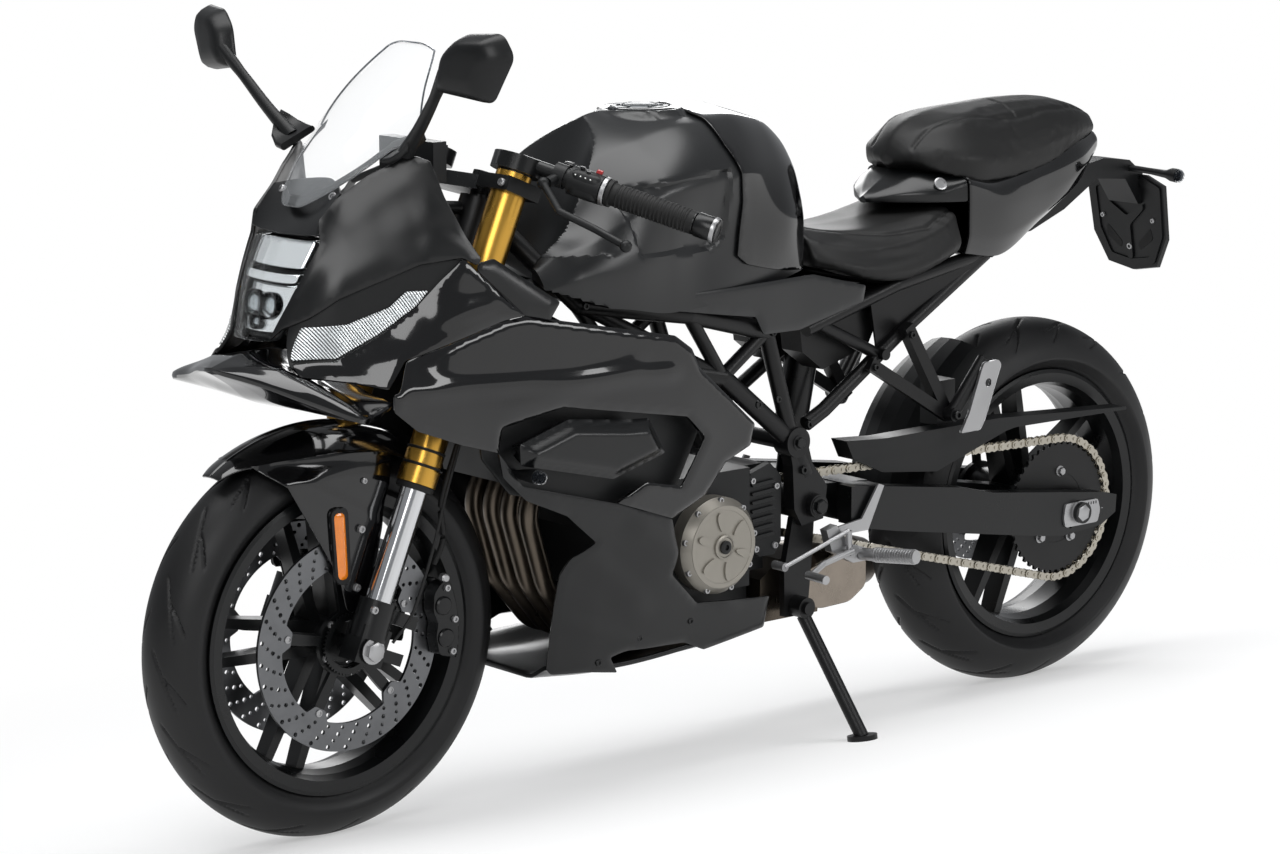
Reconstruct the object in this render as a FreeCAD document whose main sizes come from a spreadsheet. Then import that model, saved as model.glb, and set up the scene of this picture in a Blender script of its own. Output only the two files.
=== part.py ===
import FreeCAD, Part
import math
import os
import re

import Sketcher
from FreeCAD import Placement, Rotation, Vector

# Sport bike leaning on its side stand. Millimetres, +X forward, +Y to the rider's left, +Z up.
# Everything is drawn upright, and the last step leans each sub-part onto the stand.

SIZES = [
    ("wheelbase", 1450, "between the axles"),
    ("lean", 10, "degrees, how far it leans on its stand"),
    ("rake", 23, "degrees, steering axis from the vertical"),
    ("fork_offset", 32, "fork legs ahead of the steering axis"),
    ("fork_half", 105, "half the distance between the fork legs"),
    ("front_tyre_r", 300, "outer radius"),
    ("front_tyre_half", 60, "half the section width"),
    ("rear_tyre_r", 312, "outer radius"),
    ("rear_tyre_half", 80, "half the section width"),
    ("crown_extra", 2, "crown radius beyond the tyre's half width"),
    ("bead_r", 216, "bead seat of a 17 inch rim"),
    ("flange_high", 14, "rim flange above the bead seat"),
    ("front_rim_half", 46, "half the width inside the flanges"),
    ("rear_rim_half", 58, "half the width inside the flanges"),
    ("bead_gap", 0.2, "between tyre and rim"),
    ("front_axle_r", 12.5, ""),
    ("rear_axle_r", 12.5, ""),
    ("bore_gap", 0.1, "radial running clearance of hubs on axles"),
    ("front_disc_r", 160, "brake disc"),
    ("rear_disc_r", 120, "brake disc"),
    ("disc_thick", 5, ""),
    ("front_disc_y", 66, "middle of the disc from the centre plane"),
    ("rear_disc_y", 88, "middle of the disc, on the right"),
    ("stanchion_r", 20.5, "chromed inner fork tube"),
    ("fork_tube_r", 27, "gold outer fork tube"),
    ("fork_seal", 250, "lower end of the gold tube, up the leg from the axle"),
    ("fork_top", 726, "top of the gold tube, up the leg from the axle"),
    ("foot_top", 72, "top of the fork foot, up the leg from the axle"),
    ("foot_r", 28, "radius of the fork foot"),
    ("chain_pitch", 15.875, "520 chain"),
    ("rear_teeth", 47, ""),
    ("front_teeth", 15, ""),
    ("chain_y", 100, "chain line from the centre plane"),
    ("roller_r", 5.08, "chain roller"),
    ("chain_play", 1.0, "between tooth tips and rollers"),
    ("plate_high", 15, "height of a chain plate"),
    ("counter_x", -50, "front sprocket's shaft"),
    ("counter_z", 408, "front sprocket's shaft"),
    ("pivot_x", -130, "swingarm pivot"),
    ("pivot_z", 402, "swingarm pivot"),
    ("pivot_r", 12, "swingarm pivot shaft"),
    ("arm_out", 152, "outer face of the swingarm at the axle"),
    ("arm_thick", 30, "swingarm leg across"),
    ("tube_r", 15, "main frame tube"),
    ("rail_r", 12, "rear frame rail"),
    ("skin", 3.5, "thickness of body panels"),
    ("screen_thick", 3.5, "windscreen"),
    ("alternator_r", 76, "round engine cover on the left"),
    ("alternator_x", 92, ""),
    ("alternator_z", 372, ""),
    ("engine_half", 138, "half the width of the crankcase"),
    ("grip_r", 17, "handlebar grip"),
    ("bar_r", 11, "handlebar tube"),
    ("stand_length", 252, "side stand, pivot to foot"),
    ("stand_r", 11, "side stand leg"),
    ("cap_r", 44, "fuel cap"),
    ("cap_x", 112, "fuel cap centre"),
    ("cap_z", 1040, "top of the fuel cap"),
    ("cap_gap", 1.0, "round the fuel cap"),
    ("bobbin_r", 4, "stand bobbin holes in the swingarm"),
    ("seat_gap", 0.3, "between a part and what it rests on"),
]

doc = FreeCAD.newDocument("sport_bike")
sheet = doc.addObject("Spreadsheet::Sheet", "Sizes")
for row, (alias, value, note) in enumerate(SIZES, start=1):
    sheet.set(f"A{row}", alias)
    sheet.set(f"B{row}", str(value))
    sheet.set(f"C{row}", note)
    sheet.setAlias(f"B{row}", alias)
doc.recompute()


def size(alias):
    """A driving dimension, read back from the sheet."""
    return float(sheet.get(alias))


X = Vector(1, 0, 0)
Y = Vector(0, 1, 0)
Z = Vector(0, 0, 1)
ZERO = Vector(0, 0, 0)
RAKE = math.radians(size("rake"))
LEAN = math.radians(size("lean"))
FRONT = Vector(size("wheelbase") / 2, 0, size("front_tyre_r"))
REAR = Vector(-size("wheelbase") / 2, 0, size("rear_tyre_r"))
PIVOT = Vector(size("pivot_x"), 0, size("pivot_z"))
COUNTER = Vector(size("counter_x"), 0, size("counter_z"))
SKIN = size("skin")
GAP = size("seat_gap")
nodes = {}
counter = {}


def crown(half):
    """Radius of a tyre's round tread for its half width."""
    return half + size("crown_extra")


def leaned():
    """Placement that leans the upright bike to its left until both tyres and the stand are on the floor."""
    turn = Rotation(X, -size("lean"))
    front = crown(size("front_tyre_half"))
    rear = crown(size("rear_tyre_half"))
    lift = max(front, rear) * (1 - math.cos(LEAN))
    side = -(front + rear) / 2 * math.sin(LEAN)
    return Placement(Vector(0, side, lift), turn)


LEANED = leaned()
FORK = Placement(FRONT, Rotation(Y, -size("rake")))


# Shape helpers


def largest(shape, count=1):
    """The biggest solids of a shape, which drops the crumbs that a cut leaves."""
    solids = sorted(shape.Solids, key=lambda s: -s.Volume)[:count]
    return solids[0] if count == 1 else Part.makeCompound(solids)


def rod(start, end, radius):
    """A round bar from point to point."""
    start, end = Vector(*start), Vector(*end)
    return Part.makeCylinder(radius, (end - start).Length, start, end - start)


def ball(centre, radius):
    return Part.makeSphere(radius, Vector(*centre))


def face_of(points):
    return Part.Face(Part.makePolygon([Vector(*p) for p in points] + [Vector(*points[0])]))


def side_prism(outline, low, high):
    """A side-view outline of (x, z) points made solid from y low to y high."""
    return face_of([(x, low, z) for x, z in outline]).extrude(Vector(0, high - low, 0))


def end_prism(outline, low, high):
    """An end-view outline of (y, z) points made solid from x low to x high."""
    return face_of([(low, y, z) for y, z in outline]).extrude(Vector(high - low, 0, 0))


def lofted(sections, ruled=False):
    """A solid through closed polygons, each a list of (x, y, z) points."""
    wires = [Part.makePolygon([Vector(*p) for p in s] + [Vector(*s[0])]) for s in sections]
    return Part.makeLoft(wires, True, ruled)


def hull_body(stations):
    """A symmetric solid along the bike: each station is x and its left-hand (y, z) points from top to bottom."""
    sections = []
    for x, half in stations:
        left = [(x, y, z) for y, z in half]
        right = [(x, -y, z) for y, z in reversed(half)]
        sections.append(left + right)
    return lofted(sections)


def inward(points, depth):
    """The (y, z) polyline moved by depth towards the bike's middle, square to itself."""
    moved = []
    last = len(points) - 1
    for i, (y, z) in enumerate(points):
        before, after = points[max(i - 1, 0)], points[min(i + 1, last)]
        run = math.hypot(after[0] - before[0], after[1] - before[1])
        across = (after[1] - before[1]) / run, -(after[0] - before[0]) / run
        moved.append((y + across[0] * depth, z + across[1] * depth))
    return moved


def panel(stations, outline, depth=SKIN, inset=0.0):
    """A left-hand body panel: skin through top-to-bottom polylines at each x, trimmed to a side-view outline."""
    sections = []
    for x, points in stations:
        outer = inward(points, inset)
        inner = inward(points, inset + depth)
        sections.append([(x, y, z) for y, z in outer] + [(x, y, z) for y, z in reversed(inner)])
    return largest(lofted(sections, True).common(side_prism(outline, 0, 400)))


def level_body(levels):
    """A symmetric solid up the bike: each level is z and its left-hand (x, y) points from front to rear."""
    sections = []
    for z, half in levels:
        left = [(x, y, z) for x, y in half]
        right = [(x, -y, z) for x, y in reversed(half)]
        sections.append(left + right)
    return lofted(sections, True)


def cross_body(slices):
    """A solid across the bike: each slice is y and its closed (x, z) outline."""
    return lofted([[(x, y, z) for x, z in points] for y, points in slices], True)


def follow(thing, prop, value):
    """Sets a size. Text is a formula over the sheet's names, and stays bound to them."""
    if isinstance(value, str):
        formula = re.sub(r"\b([a-z]\w*_\w+|wheelbase|rake|lean|skin)\b", r"Sizes.\1", value)
        thing.setExpression(prop, formula)
    else:
        setattr(thing, prop, value)
    return thing


def made_name(stem):
    counter[stem] = counter.get(stem, 0) + 1
    return f"{stem}_{counter[stem]}"


def bar(start, end, radius, stem="bar"):
    """A round bar from point to point, as a cylinder whose radius follows the sheet."""
    start, end = Vector(*start), Vector(*end)
    thing = doc.addObject("Part::Cylinder", made_name(stem))
    thing.Height = (end - start).Length
    follow(thing, "Radius", radius)
    thing.Placement = Placement(start, Rotation(Z, end - start))
    return thing


def block(low, high, stem="block"):
    low, high = Vector(*low), Vector(*high)
    thing = doc.addObject("Part::Box", made_name(stem))
    thing.Length = high.x - low.x
    thing.Width = high.y - low.y
    thing.Height = high.z - low.z
    thing.Placement.Base = low
    return thing


def knob(centre, radius, stem="ball"):
    thing = doc.addObject("Part::Sphere", made_name(stem))
    follow(thing, "Radius", radius)
    thing.Placement.Base = Vector(*centre)
    return thing


def tapered(start, end, first, last, stem="cone"):
    start, end = Vector(*start), Vector(*end)
    thing = doc.addObject("Part::Cone", made_name(stem))
    thing.Height = (end - start).Length
    follow(thing, "Radius1", first)
    follow(thing, "Radius2", last)
    thing.Placement = Placement(start, Rotation(Z, end - start))
    return thing


def shaped(shape, stem="shape"):
    """A step whose outline is computed here, such as a lofted skin."""
    thing = doc.addObject("Part::Feature", made_name(stem))
    thing.Shape = shape
    return thing


def joined(*things, stem="joined"):
    thing = doc.addObject("Part::MultiFuse", made_name(stem))
    thing.Shapes = list(things)
    thing.Refine = True
    return thing


def grouped(*things, stem="group"):
    thing = doc.addObject("Part::Compound", made_name(stem))
    thing.Links = list(things)
    return thing


def without(base, *tools, stem="cut"):
    thing = doc.addObject("Part::Cut", made_name(stem))
    thing.Base = base
    thing.Tool = tools[0] if len(tools) == 1 else grouped(*tools)
    thing.Refine = True
    return thing


def twin(thing, stem="twin"):
    """The left-hand step and its right-hand mirror image."""
    other = doc.addObject("Part::Mirroring", made_name(stem))
    other.Source = thing
    other.Normal = Y
    return grouped(thing, other)


def finish(label, thing):
    """Names a finished sub-part and leans it with the rest of the bike."""
    doc.recompute()
    thing.Label = label
    thing.Placement = LEANED.multiply(thing.Placement)
    nodes[label] = thing
    return thing


def run_of(points, radius, stem="run"):
    """Round tube through the points, with rounded joints."""
    pieces = [bar(a, b, radius, stem) for a, b in zip(points, points[1:])]
    pieces += [knob(p, radius, stem) for p in points[1:-1]]
    return joined(*pieces, stem=stem)


def bent(points, radius, bend, stem="pipe"):
    """Round tube along straight runs joined by tangent bends."""
    line = [Vector(*p) for p in points]
    edges = []
    last = line[0]
    for before, corner, after in zip(line, line[1:], line[2:]):
        into = (corner - before).normalize()
        out = (after - corner).normalize()
        turn = into.getAngle(out)
        reach = min(bend * math.tan(turn / 2), 0.45 * min((corner - before).Length, (after - corner).Length))
        inner = reach / math.tan(turn / 2)
        aside = (out - into).normalize()
        middle = corner + aside * (inner / math.cos(turn / 2) - inner)
        start, end = corner - into * reach, corner + out * reach
        edges += [Part.makeLine(last, start), Part.Arc(start, middle, end).toShape()]
        last = end
    edges.append(Part.makeLine(last, line[-1]))
    ring = Part.Wire(Part.makeCircle(radius, line[0], line[1] - line[0]))
    return shaped(Part.Wire(edges).makePipeShell([ring], True, False), stem)


def plane_of(body, role):
    for feature in body.Origin.OriginFeatures:
        if feature.Role == role:
            return feature
    raise ValueError(role)


def sketch_in(body, role, stem):
    sketch = body.newObject("Sketcher::SketchObject", made_name(stem))
    sketch.AttachmentSupport = [(plane_of(body, role), "")]
    sketch.MapMode = "FlatFace"
    return sketch


def outline_in(sketch, points):
    """A closed outline of straight lines, joined corner to corner."""
    first = None
    count = len(points)
    for i, (a, b) in enumerate(zip(points, points[1:] + points[:1])):
        index = sketch.addGeometry(Part.LineSegment(Vector(*a, 0), Vector(*b, 0)), False)
        first = index if first is None else first
        if i:
            sketch.addConstraint(Sketcher.Constraint("Coincident", index - 1, 2, index, 1))
    sketch.addConstraint(Sketcher.Constraint("Coincident", first + count - 1, 2, first, 1))
    return first


def circle_in(sketch, x, z, radius):
    """A circle. A radius given as text is a constraint bound to the sheet."""
    value = radius if not isinstance(radius, str) else size(radius)
    index = sketch.addGeometry(Part.Circle(Vector(x, z, 0), Z, value), False)
    if isinstance(radius, str):
        number = sketch.addConstraint(Sketcher.Constraint("Radius", index, value))
        name = "round_" + str(index)
        sketch.renameConstraint(number, name)
        follow(sketch, "Constraints." + name, radius)
    return index


def side_plate(outline, low, high, holes=(), stem="plate"):
    """A plate drawn in side view: an outline of (x, z) points padded from y low to y high, with round holes."""
    body = doc.addObject("PartDesign::Body", made_name(stem))
    sketch = sketch_in(body, "XZ_Plane", stem + "_outline")
    outline_in(sketch, outline)
    for x, z, radius in holes:
        circle_in(sketch, x, z, radius)
    pad = body.newObject("PartDesign::Pad", made_name(stem + "_pad"))
    pad.Profile = sketch
    pad.Length = high - low
    body.Placement = Placement(Vector(0, high, 0), Rotation())
    return body


# Wheels


def tyre_body(label, centre, outer, half, rim_half):
    """A road tyre turned from its section: round tread, sidewall, and a foot between the rim's flanges."""
    round_r = crown(half)
    shoulder = outer - round_r + math.sqrt(round_r**2 - half**2)
    middle = 0.72 * half
    middle_r = outer - round_r + math.sqrt(round_r**2 - middle**2)
    foot = size("bead_r") + size("bead_gap")
    lip = size("bead_r") + size("flange_high") + 2
    inner = rim_half - size("bead_gap")
    bulge = (half + inner) / 2 + 0.1 * half, (shoulder + lip) / 2
    body = doc.addObject("PartDesign::Body", made_name(label))
    sketch = sketch_in(body, "YZ_Plane", label + "_section")
    arcs = [
        ((-half, shoulder), (-middle, middle_r), (0, outer)),
        ((0, outer), (middle, middle_r), (half, shoulder)),
        ((half, shoulder), bulge, (inner, lip)),
        ((-inner, lip), (-bulge[0], bulge[1]), (-half, shoulder)),
    ]
    lines = [
        ((inner, lip), (inner, foot)),
        ((inner, foot), (-inner, foot)),
        ((-inner, foot), (-inner, lip)),
    ]
    for ends in arcs:
        sketch.addGeometry(Part.Arc(*[Vector(y, r, 0) for y, r in ends]), False)
    for ends in lines:
        sketch.addGeometry(Part.LineSegment(*[Vector(y, r, 0) for y, r in ends]), False)
    turned = body.newObject("PartDesign::Revolution", made_name(label + "_turned"))
    turned.Profile = sketch
    turned.ReferenceAxis = (sketch, ["H_Axis"])
    turned.Angle = 360
    body.Placement = Placement(centre, Rotation())
    return finish(label, body)


def rim_body(label, centre, rim_half, hub_half, hub_r, axle_r, spoke_half):
    """A cast wheel: turned barrel with flanges, a hub, and five twin-bar spokes."""
    bead = size("bead_r")
    top = bead + size("flange_high")
    points = [
        (rim_half, bead), (rim_half, top), (rim_half + 4, top), (rim_half + 6, top - 6),
        (rim_half + 3, bead - 8), (rim_half - 12, bead - 14), (rim_half * 0.35, bead - 19),
    ]
    body = doc.addObject("PartDesign::Body", made_name(label + "_barrel"))
    sketch = sketch_in(body, "YZ_Plane", label + "_section")
    outline_in(sketch, points + [(-y, r) for y, r in reversed(points)])
    turned = body.newObject("PartDesign::Revolution", made_name(label + "_turned"))
    turned.Profile = sketch
    turned.ReferenceAxis = (sketch, ["H_Axis"])
    turned.Angle = 360
    reach = bead - 17
    spokes = []
    for i in range(5):
        for side in (-1, 1):
            inner = [(side * 17 - 9, hub_r - 6), (side * 17 + 9, hub_r - 6)]
            outer = [(side * 30 - 7, reach), (side * 30 + 7, reach)]
            deep, thin = spoke_half, spoke_half * 0.7
            low = [(x, y, z) for (x, z), y in zip(inner + inner[::-1], (-deep, -deep, deep, deep))]
            high = [(x, y, z) for (x, z), y in zip(outer + outer[::-1], (-thin, -thin, thin, thin))]
            spoke = lofted([low, high], True)
            spoke.rotate(ZERO, Y, 72 * i + 12)
            spokes.append(shaped(spoke, label + "_spoke"))
    hub = bar((0, -hub_half, 0), (0, hub_half, 0), hub_r, label + "_hub")
    bore = bar((0, -200, 0), (0, 200, 0), axle_r + " + bore_gap", label + "_bore")
    whole = without(joined(body, hub, *spokes, stem=label + "_cast"), bore, stem=label + "_bored")
    whole.Placement = Placement(centre, Rotation())
    return finish(label, whole)


def disc_of(side_y, radius, inner_share, ears, ear_r, turn=12):
    """A brake disc with bolt ears inside, centred on the axle at y side_y."""
    value = size(radius)
    stem = "disc"
    body = doc.addObject("PartDesign::Body", made_name(stem))
    ring = sketch_in(body, "XZ_Plane", stem + "_ring")
    circle_in(ring, 0, 0, radius)
    circle_in(ring, 0, 0, value * inner_share)
    pad = body.newObject("PartDesign::Pad", made_name(stem + "_pad"))
    pad.Profile = ring
    follow(pad, "Length", "disc_thick")
    doc.recompute()
    thick = size("disc_thick")
    body.Placement = Placement(Vector(0, side_y + thick / 2, 0), Rotation())
    carriers = []
    for i in range(ears):
        angle = math.radians(360 * i / ears + turn)
        far = value * inner_share + 4
        start = Vector(ear_r * math.sin(angle), side_y, ear_r * math.cos(angle))
        end = Vector(far * math.sin(angle), side_y, far * math.cos(angle))
        ear = block((-10, -thick / 2, 0), (10, thick / 2, (end - start).Length), "ear")
        turned = Rotation(Y, math.degrees(angle))
        ear.Placement = Placement(start + turned.multVec(ear.Placement.Base), turned)
        eye = bar((start.x, side_y - thick / 2, start.z), (start.x, side_y + thick / 2, start.z), 10, "eye")
        carriers += [ear, eye]
    return joined(body, *carriers, stem="disc_whole")


tyre_body("front_tyre", FRONT, size("front_tyre_r"), size("front_tyre_half"), size("front_rim_half"))
tyre_body("rear_tyre", REAR, size("rear_tyre_r"), size("rear_tyre_half"), size("rear_rim_half"))
rim_body("front_rim", FRONT, size("front_rim_half"), 56, 30, "front_axle_r", 19)
rim_body("rear_rim", REAR, size("rear_rim_half"), 80, 44, "rear_axle_r", 24)

front_discs = grouped(
    disc_of(size("front_disc_y"), "front_disc_r", 0.72, 6, 52),
    disc_of(-size("front_disc_y"), "front_disc_r", 0.72, 6, 52),
    stem="discs",
)
front_discs.Placement = Placement(FRONT, Rotation())
finish("front_discs", front_discs)
rear_disc = disc_of(-size("rear_disc_y"), "rear_disc_r", 0.72, 5, 52)
rear_disc.Placement = Placement(REAR, Rotation())
finish("rear_disc", rear_disc)


def pitch_radius(teeth):
    return size("chain_pitch") / (2 * math.sin(math.pi / teeth))


def sprocket_of(teeth, bore, thick):
    """A sprocket whose tips stay inside the chain's rollers."""
    tip = pitch_radius(teeth) - size("roller_r") - size("chain_play")
    root = tip - 5
    points = []
    for i in range(teeth):
        for share, radius in ((-0.3, root), (-0.12, tip), (0.12, tip), (0.3, root)):
            angle = 2 * math.pi * (i + share) / teeth
            points.append((radius * math.sin(angle), radius * math.cos(angle)))
    return side_plate(points, -thick / 2, thick / 2, [(0, 0, bore)], "sprocket")


rear_teeth = sprocket_of(int(size("rear_teeth")), 60, 5)
rear_teeth.Placement.Base.y += size("chain_y")
rear_sprocket = without(
    joined(rear_teeth, bar((0, 80.3, 0), (0, 102, 0), 74, "carrier")),
    bar((0, 70, 0), (0, 110, 0), "rear_axle_r + bore_gap", "carrier_bore"), stem="rear_sprocket")
rear_sprocket.Placement = Placement(REAR, Rotation())
finish("rear_sprocket", rear_sprocket)


def chain_loop():
    """Centre line of the chain: two straight runs and the wraps, as corner points spaced by the pitch."""
    small, big = pitch_radius(size("front_teeth")), pitch_radius(size("rear_teeth"))
    span = COUNTER - REAR
    along = math.atan2(span.z, span.x)
    lift = math.asin((big - small) / span.Length)
    up = along + math.pi / 2 - lift
    down = along - math.pi / 2 + lift
    return small, big, up, down


def chain_band(offset):
    """The loop moved outwards by offset, as a closed wire in the side plane."""
    small, big, up, down = chain_loop()
    small += offset
    big += offset

    def on(centre, radius, angle):
        return centre + Vector(radius * math.cos(angle), 0, radius * math.sin(angle))

    middle_front = (up + down) / 2
    middle_rear = middle_front + math.pi
    edges = [
        Part.makeLine(on(REAR, big, up), on(COUNTER, small, up)),
        Part.Arc(on(COUNTER, small, up), on(COUNTER, small, middle_front), on(COUNTER, small, down)).toShape(),
        Part.makeLine(on(COUNTER, small, down), on(REAR, big, down)),
        Part.Arc(on(REAR, big, down), on(REAR, big, middle_rear), on(REAR, big, up)).toShape(),
    ]
    return Part.Wire(edges)


def chain_strip(low, high):
    """One row of side plates, drawn as a strip along the whole loop."""
    half = size("plate_high") / 2
    depth = Vector(0, high - low, 0)
    solid = Part.Face(chain_band(half)).extrude(depth).cut(Part.Face(chain_band(-half)).extrude(depth))
    solid.translate(Vector(0, low, 0))
    return solid


CHAIN_IN = 3.6
chain_y = size("chain_y")


def chain_pins():
    """Rollers along the loop, drawn as six-sided bars between the plates."""
    small, big, up, down = chain_loop()
    wrap_small = (up - down) * small
    wrap_big = (2 * math.pi - (up - down)) * big
    straight = (COUNTER - REAR).Length * math.cos(math.asin((big - small) / (COUNTER - REAR).Length))
    total = 2 * straight + wrap_small + wrap_big
    count = round(total / size("chain_pitch"))
    made = []
    for i in range(count):
        run = total * i / count
        if run < straight:
            start = REAR + Vector(big * math.cos(up), 0, big * math.sin(up))
            heading = Vector(math.sin(up), 0, -math.cos(up))
            point = start + heading * run
        elif run < straight + wrap_small:
            angle = up - (run - straight) / small
            point = COUNTER + Vector(small * math.cos(angle), 0, small * math.sin(angle))
        elif run < 2 * straight + wrap_small:
            start = COUNTER + Vector(small * math.cos(down), 0, small * math.sin(down))
            heading = Vector(-math.sin(-down), 0, -math.cos(down))
            heading = Vector(math.sin(down), 0, -math.cos(down))
            point = start + heading * (run - straight - wrap_small)
        else:
            angle = down - (run - 2 * straight - wrap_small) / big
            point = REAR + Vector(big * math.cos(angle), 0, big * math.sin(angle))
        made.append(point)
    return made


rollers = []
for point in chain_pins():
    corners = [(point.x + size("roller_r") * math.cos(a), point.z + size("roller_r") * math.sin(a))
               for a in [math.pi * k / 3 for k in range(6)]]
    rollers.append(side_prism(corners, chain_y - CHAIN_IN - 0.5, chain_y + CHAIN_IN + 0.5))
chain = chain_strip(chain_y + CHAIN_IN, chain_y + CHAIN_IN + 3.4).fuse(
    [chain_strip(chain_y - CHAIN_IN - 3.4, chain_y - CHAIN_IN)] + rollers)
finish("chain", shaped(chain, "chain"))
front_sprocket = sprocket_of(int(size("front_teeth")), 10, 5)
front_sprocket.Placement = Placement(COUNTER + Y * (chain_y + 2.5), Rotation())
output_shaft = bar((COUNTER.x, 40, COUNTER.z), (COUNTER.x, chain_y + 8, COUNTER.z), 14, "output_shaft")


# Steering and fork. The leg frame has its origin on the front axle, local Z up the legs and local X ahead.


def at_fork(thing):
    thing.Placement = FORK.multiply(thing.Placement)
    return thing


OFF = size("fork_offset")
LEG = size("fork_half")
SEAL = size("fork_seal")
TOP = size("fork_top")
FOOT = size("foot_top")

outers = []
for side in (1, -1):
    y = side * LEG
    tube = bar((0, y, SEAL), (0, y, TOP), "fork_tube_r", "fork_outer")
    ring = bar((0, y, SEAL), (0, y, SEAL + 24), "fork_tube_r + 2.5", "fork_ring")
    ring_two = bar((0, y, SEAL + 32), (0, y, SEAL + 48), "fork_tube_r + 1.5", "fork_ring")
    slide = bar((0, y, 0), (0, y, TOP - 20), "stanchion_r + 0.15", "fork_slide")
    outers.append(without(joined(tube, ring, ring_two), slide, stem="fork_outer_bored"))
finish("fork_outers", at_fork(grouped(*outers)))
finish("stanchions", at_fork(grouped(*[
    bar((0, side * LEG, FOOT), (0, side * LEG, 560), "stanchion_r", "stanchion") for side in (1, -1)])))

feet = []
for side in (1, -1):
    y = side * LEG
    sleeve = bar((0, y, 14), (0, y, FOOT), "foot_r", "foot")
    lug = block((-26, y - 20, -22), (24, y + 20, 34), "lug")
    arm = block((-70, y - 14, 46), (-8, y + 14, 66), "caliper_arm")
    lower = block((-64, y - 14, -10), (-8, y + 14, 8), "caliper_arm")
    feet += [sleeve, lug, arm, lower]
finish("fork_feet", at_fork(without(
    joined(*feet, bar((0, -132, 0), (0, 132, 0), "front_axle_r", "axle"),
           bar((0, LEG + 18, 0), (0, LEG + 24, 0), 20, "axle_washer"),
           bar((0, -LEG - 24, 0), (0, -LEG - 18, 0), 20, "axle_washer")),
    bar((0, -140, 0), (0, 140, 0), 9, "axle_bore"))))


def clamp(label, low, high, tube_alias, stem_r):
    """A fork clamp: a plate across both legs and the steering stem, drawn from above."""
    outline = [
        (34, -LEG - 36), (34, -LEG + 36), (10, -44), (10, 44), (34, LEG - 36), (34, LEG + 36),
        (-30, LEG + 36), (-34, LEG - 10), (-70, 34), (-70, -34), (-34, -LEG + 10), (-30, -LEG - 36),
    ]
    body = doc.addObject("PartDesign::Body", made_name(label))
    sketch = sketch_in(body, "XY_Plane", label + "_outline")
    outline_in(sketch, outline)
    for side in (1, -1):
        circle_in(sketch, 0, side * LEG, tube_alias)
    circle_in(sketch, -OFF, 0, stem_r)
    pad = body.newObject("PartDesign::Pad", made_name(label + "_pad"))
    pad.Profile = sketch
    pad.Length = high - low
    body.Placement = Placement(Vector(0, 0, low), Rotation())
    return body


finish("fork_clamps", at_fork(without(
    joined(clamp("lower_clamp", 528, 566, "fork_tube_r", 10), clamp("upper_clamp", 694, 716, "fork_tube_r", 10),
           bar((-OFF, 0, 524), (-OFF, 0, 722), 15, "stem"),
           bar((-OFF, 0, 716), (-OFF, 0, 728), 20, "stem_nut")),
    bar((-OFF, 0, 510), (-OFF, 0, 580), 9, "stem_bore"), stem="fork_clamps")))

BAR_AIM = (Vector(293, 350, 905) - Vector(432, 120, 985)).normalize()
BAR_START = Vector(432, 120, 985)


def on_bar(run):
    point = BAR_START + BAR_AIM * run
    return (point.x, point.y, point.z)


bars, switches, levers = [], [], []
clip = at_fork(without(
    joined(bar((0, LEG, 728), (0, LEG, 752), 38, "clip"), bar((0, LEG, TOP - 26), (0, LEG, 744), 26.9, "riser")),
    bar((0, LEG, 690), (0, LEG, TOP + 0.2), "fork_tube_r + 0.1", "clip_bore")))
bars.append(joined(clip, bar(on_bar(-6), on_bar(292), "bar_r", "handlebar"),
                   bar(on_bar(132), on_bar(272), "grip_r", "grip"),
                   bar(on_bar(276), on_bar(308), 18, "bar_weight")))
switches.append(without(
    joined(bar(on_bar(74), on_bar(124), 22, "switch"), bar(on_bar(66), on_bar(82), 15, "perch")),
    bar(on_bar(40), on_bar(140), "bar_r + 0.05")))
hinge = Vector(*on_bar(60)) + Vector(34, 6, -6)
levers.append(joined(
    without(bar(on_bar(48), on_bar(66), 18, "lever_clamp"), bar(on_bar(30), on_bar(90), "bar_r + 0.05")),
    bar(on_bar(57), (hinge.x, hinge.y, hinge.z), 8, "lever_neck"),
))
finish("handlebars", twin(bars[0]))
tip = (434, 350, 887)
finish("bar_controls", twin(without(joined(
    *switches, *levers, bar(on_bar(60), on_bar(90), 15, "perch"), knob((hinge.x + 9, hinge.y + 2, hinge.z), 9),
    run_of([(hinge.x + 9, hinge.y + 2, hinge.z), (474, 250, 930), (450, 300, 908), tip], 5.5, "lever"),
    knob(tip, 9)), bar(on_bar(20), on_bar(160), "bar_r + 0.05"))))


def fender_section(angle, outer, half, thick):
    """Closed cross-section of a mudguard at an angle round the wheel."""
    points = []
    for t in (-1, -0.75, -0.4, 0, 0.4, 0.75, 1):
        points.append((half * t, outer - 46 * (half / 78) ** 2.2 * abs(t) ** 2.6))
    inner = [(y * (1 - thick / half), r - thick) for y, r in reversed(points)]
    a = math.radians(angle)
    return [(FRONT.x + r * math.cos(a), y, FRONT.z + r * math.sin(a)) for y, r in points + inner]


fender = lofted([fender_section(a, r, h, 3) for a, r, h in (
    (57, 324, 28), (66, 322, 50), (80, 320, 67), (95, 320, 71), (112, 320, 71), (128, 322, 66))])
FENDER_SIDE = [(760, 575), (835, 560), (815, 520), (742, 400), (732, 345), (700, 352), (676, 420), (664, 520),
               (660, 580)]
side_leaf = side_prism(FENDER_SIDE, 74, 77)
finish("front_fender", joined(
    shaped(largest(fender), "fender_top"),
    twin(shaped(side_leaf, "fender_side")),
    twin(block((690, 64, 545), (770, 77, 592), "fender_bridge")),
    stem="front_fender"))
finish("fender_reflectors", twin(side_plate([(733, 402), (751, 402), (757, 497), (738, 497)], 77.3, 83)))


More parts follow.
